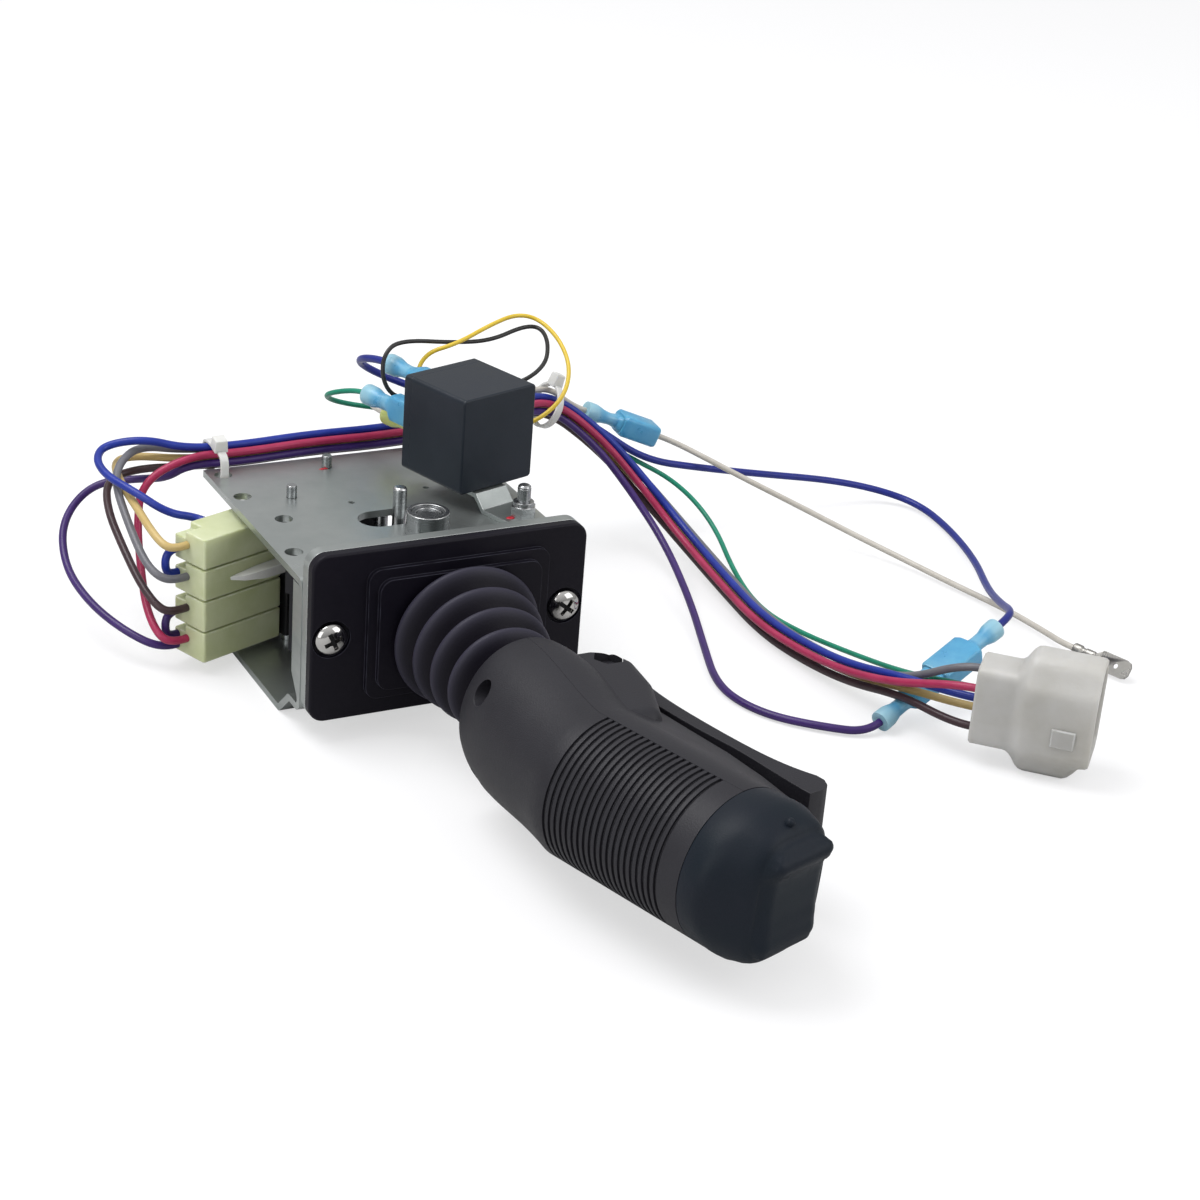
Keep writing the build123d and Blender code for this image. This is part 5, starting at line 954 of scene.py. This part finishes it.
        outside = [
            section(0.0, 0.0, 1.0, 0.6), section(0.6, 0.0, 1.0), section(10.4, 0.0, 1.0),
            section(11.4, 0.06, 1.0), section(12.4, 0.25, 1.0), section(13.4, 0.52, 1.0),
            section(14.4, 0.78, 1.0), section(15.6, 0.95, 1.0), section(17.0, 1.0, 1.0),
            section(28.6, 1.0, 1.0), section(30.2, 1.0, 0.88), section(31.8, 1.0, 0.6),
            section(33.2, 1.0, 0.25), section(34.2, 1.0, 0.05), section(35.2, 1.0, 0.0, 0.1),
            section(35.9, 1.0, 0.0, 0.6),
        ]
        inside = [section(36.0, 1.0, 0.0, 1.3), section(35.4, 1.0, 0.0, 1.8), section(16.5, 1.0, 0.0, 1.9)]
        form.loft([*outside, *inside], place)
        for lift in (-21.8, -14.6, -7.4):
            for across in (-3.4, 3.4):
                form.block((5.2, 5.0, 17.0), place @ Matrix.Translation((across, lift, 16.0)))
        self.shop.mesh("plug_body", form, "plug_white", Body.CHASSIS, ["plug_housing"], angle=40)
        latch = Form()
        facing = PLUG.at(0, -1, 0) - PLUG.at(0, 0, 0)
        latch.block((7.4, 6.2, 0.6), looking(PLUG.at(27.6, -11.0, -17.4), facing, UP), taper=0.9)
        latch.block((6.0, 3.4, 0.8), looking(PLUG.at(23.0, 0.0, 2.6), UP, facing), taper=0.8)
        self.shop.mesh("plug_latch", latch, "plug_white", Body.CHASSIS, bevel=0.3)

    def ties(self) -> None:
        """Two nylon ties: toothed straps with their heads."""
        form = Form()
        place = Matrix.Translation((-38.8, 91.95, 18.15)) @ Matrix.Rotation(math.radians(90), 4, "Y")
        self.strap(form, place @ Matrix.Rotation(math.radians(90), 4, "Z"), 8.65, 4.85, 4.0)
        form.block((4.6, 4.4, 4.0), looking(Vector((-38.8, 88.6, 23.2)), Vector((0, -0.2, 1)),
                                            Vector((1, 0, 0))), 0.86)
        before, corner, after = self.stations[5:8]
        axis = (after - before).normalized()
        side = axis.cross(UP).normalized()
        run_in, run_out = corner - before, after - corner
        half_turn = run_in.angle(run_out) / 2
        radius = 0.45 * min(run_in.length, run_out.length) / math.tan(half_turn)
        inward = ((before - corner).normalized() + (after - corner).normalized()).normalized()
        centre = corner + inward * radius * (1 / math.cos(half_turn) - 1) - side * 1.2
        turned = looking(centre, axis, UP)
        self.strap(form, turned, 7.5, 7.5, 2.0)
        head = turned @ Matrix.Translation((0.0, 6.9, -1.9)) @ Matrix.Rotation(math.radians(-90), 4, "X")
        form.block((4.4, 4.0, 4.6), head @ Matrix.Translation((0, -1.9, 0)), 0.85)
        self.shop.mesh("nylon_ties", form, "nylon_white", Body.CHASSIS, ["cable_ties"], bevel=0.25)

    @staticmethod
    def strap(form: Form, place: Matrix, half_x: float, half_y: float, power: float) -> None:
        """Adds a closed strap with shallow teeth, 2.6 wide and about 1 thick."""
        rings, steps, edge = [], 72, UP * 1.3
        path = rounded(half_x, half_y, power, steps)
        for step, (x, y) in enumerate(path):
            ahead = path[(step + 1) % steps]
            behind = path[step - 1]
            along = Vector((ahead[0] - behind[0], ahead[1] - behind[1], 0)).normalized()
            out = Vector((along.y, -along.x, 0))
            thick = 0.42 + 0.06 * (step % 2)
            middle = Vector((x, y, 0))
            rings.append([
                middle - out * thick - edge, middle + out * 0.5 - edge,
                middle + out * 0.5 + edge, middle - out * thick + edge,
            ])
        form.loft(rings, place, closed=True)

    def build(self) -> None:
        """Builds the pieces that wires end in, then every wire."""
        self.terminals()
        self.bare_tab()
        self.plug()
        for wire in self.wires():
            piece = self.shop.curve(wire.name, wire.route, wire.diameter, wire.node, [wire.node])
        for name, node, layer in (("wire_blue_link", "wire_blue", 1), ("wire_purple_link", "wire_purple", 3)):
            self.shop.curve(name, self.jumper(layer), self.wire_d, node, [node])
        self.ties()


@dataclass
class Bellows:
    """Ribbed rubber boot between the bezel and the grip."""

    shop: Workshop
    start: Vector = field(default_factory=lambda: Vector((3.0, -6.4, -2.0)))
    end: Vector = field(default_factory=lambda: Vector((1.5, -52.0, -4.5)))
    neck_r: float = 18.2
    rings: tuple[tuple[float, float], ...] = (
        (3.2, 22.5), (12.3, 20.4), (21.4, 18.7), (30.5, 17.0), (39.6, 15.2),
    )
    fold: float = 5.4
    wall: float = 1.3
    end_r: float = 12.4

    def profile(self) -> list[tuple[float, float, float]]:
        """Radius, distance along the axis and share of the painted crest highlight of each point of the
        outside.
        """
        outline = [(self.neck_r, -4.0, 0.0), (self.neck_r, 0.6, 0.0), (self.neck_r + 1.6, 0.9, 0.0),
                   (21.6, 1.5, 0.2), (22.3, 2.3, 0.7)]
        steps = 14
        for (a, ra), (b, rb) in zip(self.rings, self.rings[1:]):
            for step in range(steps):
                u = step / steps
                crest = abs(math.cos(math.pi * u)) ** 1.5
                middle = ra + (rb - ra) * u
                outline.append((middle - self.fold * (1 - crest), a + (b - a) * u, crest ** 5))
        last = self.rings[-1]
        length = (self.end - self.start).length
        outline += [(last[1], last[0], 1.0), (last[1] - 0.4, last[0] + 0.9, 0.7), (13.0, last[0] + 2.4, 0.0),
                    (self.end_r, last[0] + 3.6, 0.0), (self.end_r, length, 0.0)]
        return outline

    def build(self) -> None:
        """Builds the boot between the chassis and the lever, baked in place and on no body."""
        outside = self.profile()
        inside = [(radius - self.wall, along, 0.0) for radius, along, _ in reversed(outside)]
        form = Form().lathe([*outside, *inside], looking(self.start, self.end - self.start, UP), 96)
        boot = self.shop.mesh("bellows", form, "rubber", Body.CHASSIS, ["bellows_boot"], angle=75)
        boot.parent = None
        del boot["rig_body"]
        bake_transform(boot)


@dataclass
class PanelScrews:
    """Pan head screws with cross recesses."""

    shop: Workshop
    pitch: float = 74.0
    seat_y: float = -2.2
    arm_reach: float = 2.75
    arm_half: float = 0.62
    turns: tuple[float, float] = (24.0, 52.0)

    def head(self, radius: float) -> float:
        """Height of the domed head at a radius."""
        return 0.5 + 2.85 * math.sqrt(max(0.0, 1 - (radius / 5.02) ** 2.6))

    def recess(self, x: float, y: float) -> float:
        """Depth of the cross recess at a point, tapering along its arms."""
        along, across = max(abs(x), abs(y)), min(abs(x), abs(y))
        if along > self.arm_reach or across > self.arm_half:
            return 0.0
        return 1.9 - 0.35 * along

    def build(self) -> None:
        """Builds both heads with their recesses and shanks, and dark bars in the recesses as painted shade.
        """
        form, shade, count = Form(), Form(), 160
        for x, turn in zip((-self.pitch / 2, self.pitch / 2), self.turns):
            place = looking(Vector((x, self.seat_y, 0)), Vector((0, -1, 0)), UP)
            start = math.radians(turn)
            rings = []
            for step in range(1, 30):
                radius = 0.1 * step
                rings.append([
                    Vector((
                        radius * math.cos(a + start), radius * math.sin(a + start),
                        self.head(radius) - self.recess(radius * math.cos(a), radius * math.sin(a)),
                    ))
                    for a in (2 * math.pi * k / count for k in range(count))
                ])
            outer = [(r, self.head(r)) for r in (3.2, 3.6, 4.0, 4.3, 4.6, 4.8, 4.95)]
            outer += [(5.0, 0.5), (5.0, 0.2), (4.8, 0.0), (2.5, 0.0), (2.5, -12.6), (2.1, -13.0)]
            rings += [
                [Vector((r * math.cos(a + start), r * math.sin(a + start), h))
                 for a in (2 * math.pi * k / count for k in range(count))]
                for r, h in outer
            ]
            form.loft(rings, place)
            # Dark bars on the floor of each cross recess: painted shade, not a part of the screw.
            for arm in (0.0, math.pi / 2):
                bars = [
                    [Vector((x, y, self.head(abs(x)) - self.recess(x, 0.0) + z))
                     for y, z in ((-0.56, 0.05), (0.56, 0.05), (0.56, -0.1), (-0.56, -0.1))]
                    for x in (-2.55, -1.3, 0.0, 1.3, 2.55)
                ]
                shade.loft(bars, place @ Matrix.Rotation(start + arm, 4, "Z"))
        self.shop.mesh("panel_screw_recesses", shade, "switch_black", Body.CHASSIS)
        self.shop.mesh("panel_screw_heads", form, "chrome", Body.CHASSIS, ["panel_screws"], angle=38)


@dataclass
class ChassisDetail:
    """Springs, bearing rollers, screw threads and torque marks."""

    shop: Workshop
    roller_count: int = 22
    roller_ring_r: float = 4.05
    roller_foot_z: float = 20.8
    roller_length: float = 6.15

    def centring_spring(self) -> None:
        """Torsion spring: three turns round the collar and two legs along the pin and the post."""
        z, pitch, radius = 7.2, 1.75, 6.4
        right, back = Vector((1, 0, 0)), Vector((0, 1, 0))
        coil = helix(Vector((0, PIVOT.y, z)), right, back, UP, radius, pitch, 2.5, start=0.5)
        low_leg = [Vector((-4.1, 54.0, z)), Vector((-4.6, 40.0, z)), Vector((-5.9, 24.0, z)),
                   Vector((-6.3, 18.6, z))]
        high = z + 2.5 * pitch
        high_leg = [Vector((6.3, 18.6, high)), Vector((5.9, 24.0, high)), Vector((4.6, 40.0, high)),
                    Vector((4.1, 54.0, high))]
        form = Form().tube([*low_leg, *coil[1:]], 0.85, 14).tube([coil[-1], *high_leg], 0.85, 14)
        spring = self.shop.mesh("torsion_spring", form, "spring_steel", Body.CHASSIS, ["centring_spring"],
                                angle=60)
        spring.parent = None
        del spring["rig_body"]
        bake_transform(spring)

    def trigger_spring(self) -> None:
        """Compression spring between the grip and the trigger bar."""
        start = Vector((20.1, -86.0, LEVER_Z))
        path = helix(start, Vector((0, 1, 0)), UP, Vector((1, 0, 0)), 2.6, 1.62, 6.0)
        form = Form().tube(path, 0.45, 10)
        spring = self.shop.mesh("trigger_return_spring", form, "spring_steel", Body.LEVER, ["trigger_spring"],
                                angle=60)
        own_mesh(spring)

    def rollers(self) -> None:
        """Needle rollers in the upper boss."""
        form = Form()
        for step in range(self.roller_count):
            a = 2 * math.pi * step / self.roller_count
            around = (self.roller_ring_r * math.cos(a), PIVOT.y + self.roller_ring_r * math.sin(a))
            foot = Vector((*around, self.roller_foot_z))
            form.tube([foot, foot + UP * self.roller_length], 0.5, 8)
        self.shop.mesh("needle_rollers", form, "steel", Body.CHASSIS, angle=50)

    def threads(self) -> None:
        """Screw threads at the two stack screws and at the relay's stud."""
        form = Form()
        places = [(SWITCHES.at(-12.4, -5.75, 16.3), 1.5, 3.7), (SWITCHES.at(12.4, 5.75, 16.3), 1.5, 3.7),
                  (Vector((35.4, 24.4, 22.9)), 2.0, 4.5)]
        for foot, radius, height in places:
            pitch = 0.35 * radius
            profile, count = [(radius - 0.3, 0.0)], int(height / pitch)
            for turn in range(count):
                profile += [(radius - 0.02, turn * pitch), (radius + 0.12, (turn + 0.5) * pitch)]
            profile += [(radius - 0.02, count * pitch), (radius - 0.3, count * pitch)]
            form.lathe(profile, Matrix.Translation(foot), 28)
        self.shop.mesh("screw_threads", form, "steel", Body.CHASSIS, angle=70)

    def torque_marks(self) -> None:
        """Red lacquer beside the stud nut and at one stack screw."""
        form = Form()
        rows = [(Vector((31.2, 24.0, 17.75)), 1.5, 0.9, 0.3), (SWITCHES.at(10.4, 5.0, 16.25), 1.5, 0.5, 0.25)]
        for foot, half_x, half_y, height in rows:
            sections = [(0.0, 1.0), (height * 0.6, 0.85), (height, 0.4)]
            rings = stack([(z, half_x * k, half_y * k, 2.3) for z, k in sections], 20)
            form.loft(rings, Matrix.Translation(foot))
        self.shop.mesh("torque_marks", form, "torque_mark", Body.CHASSIS, angle=70)

    def latch_wedge(self) -> None:
        """Clear nylon wedge that sticks out beside the switch plugs."""
        form = Form()
        place = SWITCHES.matrix(-24.0, -7.0, -3.4)
        rows = [(-13.5, 0.3, 0.5), (-10.0, 2.8, 0.9), (-3.0, 4.4, 1.5), (5.0, 4.6, 1.6), (11.0, 3.8, 1.4)]
        rings = [
            [Vector((x, -reach, z)) for z in (-thick, thick)] + [Vector((x, 0.0, thick)),
                                                                 Vector((x, 0.0, -thick))]
            for x, reach, thick in rows
        ]
        form.loft(rings, place)
        self.shop.mesh("latch_wedge", form, "nylon_white", Body.CHASSIS, bevel=0.25)

    def build(self) -> None:
        """Builds every small piece of the chassis."""
        self.centring_spring()
        self.trigger_spring()
        self.rollers()
        self.threads()
        self.torque_marks()
        self.latch_wedge()


@dataclass
class ThumbBoot:
    """Rubber boot over the thumb rocker at the grip's end."""

    shop: Workshop
    kink_y: float = -97.0
    tilt: float = 17.0
    sections: tuple[tuple[float, float, float, float], ...] = (
        (51.2, 21.1, 21.1, 2.0), (51.6, 21.3, 21.3, 2.0), (56.4, 21.3, 21.3, 2.0), (57.6, 21.1, 21.25, 2.05),
        (59.2, 20.2, 21.05, 2.15), (61.0, 18.7, 20.8, 2.3), (63.0, 16.9, 20.0, 2.5), (65.0, 15.4, 19.2, 2.8),
        (66.6, 14.2, 18.3, 3.1), (67.8, 13.3, 17.4, 3.4), (68.5, 12.5, 16.5, 3.6), (68.8, 12.0, 15.8, 3.7),
    )
    ridge: tuple[tuple[float, float], ...] = (
        (-17.0, 68.8), (-15.5, 69.6), (-13.5, 71.2), (-11.0, 71.9), (-8.0, 71.5), (-3.0, 71.0), (3.0, 70.9),
        (6.4, 71.1), (8.0, 71.6), (9.8, 73.0), (11.4, 73.5), (12.8, 72.9), (14.6, 70.6), (15.7, 69.3),
        (17.0, 68.8),
    )
    lean: float = 0.09

    def place(self) -> Matrix:
        """Frame of the barrel: X across, Y up and Z along the barrel's axis."""
        s, c = math.sin(math.radians(self.tilt)), math.cos(math.radians(self.tilt))
        return looking(Vector((0, self.kink_y, LEVER_Z)), Vector((s, -c, 0)), UP)

    def top(self, across: float, up: float) -> float:
        """Height of the end pad, with its ridge above and its rounded lip below."""
        height = self.ridge[0][1]
        for (a, low), (b, high) in zip(self.ridge, self.ridge[1:]):
            if a <= up <= b:
                share = (up - a) / (b - a)
                height = low + (high - low) * share * share * (3 - 2 * share)
        return height - 0.16 * max(0.0, abs(across) - 7.5) ** 2

    def build(self) -> None:
        """Builds the boot between the lever and the rocker, baked in place and on no body."""
        count = 96
        rings, last = [], self.sections[-1]
        for s, a, b, power in self.sections:
            share = self.lean * max(0.0, s - 57.0) / (last[0] - 57.0)
            rings.append([Vector((x + share * y, y, s)) for x, y in rounded(a, b, power, count)])
        for scale in (0.975, 0.94, 0.9, 0.85, 0.8, 0.74, 0.68, 0.61, 0.54, 0.46, 0.38, 0.3, 0.2, 0.1, 0.02):
            rings.append([
                Vector((x + self.lean * y, y, max(self.top(x, y), last[0])))
                for x, y in rounded(last[1] * scale, last[2] * scale, last[3], count)
            ])
        form = Form().loft(rings, self.place())
        nib = self.place() @ Matrix.Translation((0.9, 18.3, 65.6)) @ Matrix.Rotation(math.radians(-50), 4,
                                                                                     "X")
        form.loft([[Vector((x * k, y * k, z)) for x, y in rounded(1.2, 1.2, 2, 96)]
                   for z, k in ((0.0, 1.0), (1.6, 0.9), (2.1, 0.45))], nib)
        form.shares = [0.0] * len(form.points)
        boot = self.shop.mesh("thumb_boot", form, "boot_rubber", Body.LEVER, ["rocker_boot"], angle=80)
        boot.parent = None
        del boot["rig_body"]
        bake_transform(boot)


@dataclass
class KeptNodes:
    """CAD nodes that stay as they are, with rounded edges and their finishes."""

    shop: Workshop
    roundings: dict[str, float] = field(default_factory=lambda: {
        "chassis_bracket": 0.3, "front_plate": 0.35, "boot_bezel": 0.7, "relay_cover": 0.35,
        "relay_base": 0.3,
        "relay_bracket": 0.25, "grip_rear": 0.25, "grip_front": 0.25, "trigger": 0.9, "pivot_boss_top": 0.4,
        "pivot_shaft": 0.3, "spring_pin": 0.3, "relay_nut": 0.3, "panel_nuts": 0.3,
    })

    def build(self) -> None:
        """Dresses every node that is still shown."""
        slots = {part["node"]: part["material_slot"] for part in frame["record"]["subparts"]}
        for name, node in frame["nodes"].items():
            finish = slots[name]
            for polygon in node.data.polygons:
                polygon.use_smooth = True
            if "custom_normal" in node.data.attributes:
                node.data.attributes.remove(node.data.attributes["custom_normal"])
            width = self.roundings.get(name, 0.15)
            if name.startswith("switch_plug"):
                width = 0.4
            if not node.hide_render:
                soften(node, width)
                LOG.info("%s keeps its shape in %s", name, finish)
            self.shop.dress(node, finish)


@dataclass
class Studio:
    """Floor, world, lamps and the camera at the photograph's viewing angle."""

    floor_z: float = -33.6
    lens: float = 75.08
    eye: Vector = field(default_factory=lambda: mm(-279.7, -600.1, 314.5))
    forward: Vector = field(default_factory=lambda: Vector((0.43814, 0.79519, -0.41918)))
    up: Vector = field(default_factory=lambda: Vector((0.13163, 0.40454, 0.90500)))

    def camera(self) -> None:
        """Makes the camera."""
        data = bpy.data.cameras.new("camera")
        data.lens = self.lens
        data.sensor_width = 36.0
        data.clip_start = 0.01
        camera = bpy.data.objects.new("camera", data)
        z = -self.forward.normalized()
        x = self.up.cross(z).normalized()
        turned = Matrix((x, z.cross(x), z)).transposed().to_4x4()
        camera.matrix_world = Matrix.Translation(self.eye) @ turned
        bpy.context.scene.collection.objects.link(camera)
        bpy.context.scene.camera = camera

    @staticmethod
    def seen(tree: bpy.types.NodeTree) -> bpy.types.NodeSocket:
        """Socket that is 1 for camera and transmission rays."""
        path = tree.nodes.new("ShaderNodeLightPath")
        either = tree.nodes.new("ShaderNodeMath")
        either.operation = "MAXIMUM"
        tree.links.new(path.outputs["Is Camera Ray"], either.inputs[0])
        tree.links.new(path.outputs["Is Transmission Ray"], either.inputs[1])
        return either.outputs[0]

    def floor(self) -> None:
        """Makes a wide pale floor that keeps a soft shadow."""
        data = bpy.data.meshes.new("floor")
        half, z = 6.0, (self.floor_z - 0.05) * MM
        data.from_pydata([(-half, -half, z), (half, -half, z), (half, half, z), (-half, half, z)], [],
                         [(0, 1, 2, 3)])
        floor = bpy.data.objects.new("floor", data)
        bpy.context.scene.collection.objects.link(floor)
        material = bpy.data.materials.new("floor")
        material.use_nodes = True
        tree = material.node_tree
        tree.nodes.remove(tree.nodes["Principled BSDF"])
        plain = tree.nodes.new("ShaderNodeBsdfDiffuse")
        plain.inputs["Color"].default_value = (0.55, 0.55, 0.55, 1)
        shadow = tree.nodes.new("ShaderNodeBsdfDiffuse")
        shadow.inputs["Color"].default_value = (0.42, 0.42, 0.43, 1)
        glow = tree.nodes.new("ShaderNodeEmission")
        glow.inputs["Strength"].default_value = 0.58
        both = tree.nodes.new("ShaderNodeAddShader")
        mix = tree.nodes.new("ShaderNodeMixShader")
        tree.links.new(shadow.outputs[0], both.inputs[0])
        tree.links.new(glow.outputs[0], both.inputs[1])
        tree.links.new(self.seen(tree), mix.inputs[0])
        tree.links.new(plain.outputs[0], mix.inputs[1])
        tree.links.new(both.outputs[0], mix.inputs[2])
        tree.links.new(mix.outputs[0], tree.nodes["Material Output"].inputs["Surface"])
        data.materials.append(material)

    def world(self) -> None:
        """Makes a white world that lights at a plain level."""
        world = bpy.data.worlds.new("world")
        bpy.context.scene.world = world
        world.use_nodes = True
        tree = world.node_tree
        back = tree.nodes["Background"]
        back.inputs["Color"].default_value = (1, 1, 1, 1)
        place = tree.nodes.new("ShaderNodeTexCoord")
        parts = tree.nodes.new("ShaderNodeSeparateXYZ")
        sky = tree.nodes.new("ShaderNodeMapRange")
        feed(sky, {
            "From Min": -0.2, "From Max": 0.9, "To Min": 0.22, "To Max": 0.78,
        })
        pick = tree.nodes.new("ShaderNodeMix")
        pick.inputs["B"].default_value = 1.0
        tree.links.new(place.outputs["Generated"], parts.inputs[0])
        tree.links.new(parts.outputs["Z"], sky.inputs["Value"])
        tree.links.new(self.seen(tree), pick.inputs["Factor"])
        tree.links.new(sky.outputs["Result"], pick.inputs["A"])
        tree.links.new(pick.outputs["Result"], back.inputs["Strength"])

    def lamp(self, name: str, place: Vector, target: Vector, size: float, power: float) -> None:
        """Adds a square soft lamp.

        Args:
            name: name of the lamp.
            place: its place in metres.
            target: point that it faces, in metres.
            size: side in metres.
            power: power in watts.
        """
        data = bpy.data.lights.new(name, "AREA")
        data.size = size
        data.energy = power
        lamp = bpy.data.objects.new(name, data)
        lamp.location = place
        lamp.rotation_mode = "QUATERNION"
        lamp.rotation_quaternion = (target - place).to_track_quat("-Z", "Y")
        bpy.context.scene.collection.objects.link(lamp)

    def build(self) -> None:
        """Builds the whole studio."""
        self.floor()
        self.world()
        middle = Vector((0.05, 0.0, 0.0))
        self.lamp("key", Vector((-0.5, 0.3, 1.3)), middle, 0.9, 13.0)
        self.lamp("fill", Vector((0.9, -0.9, 0.8)), middle, 1.0, 6.0)
        self.lamp("left", Vector((-1.2, -0.5, 0.5)), middle, 0.9, 4.0)
        bpy.context.scene.view_settings.view_transform = "Standard"


def main() -> None:
    """Builds the camera, the cords and then every other piece in order."""
    logging.basicConfig(level=logging.INFO, format="%(message)s")
    studio = Studio()
    studio.camera()
    shop = Workshop()
    Harness(shop).build()
    Bellows(shop).build()
    PanelScrews(shop).build()
    ChassisDetail(shop).build()
    ThumbBoot(shop).build()
    KeptNodes(shop).build()
    studio.build()


if __name__ == "__main__":
    main()
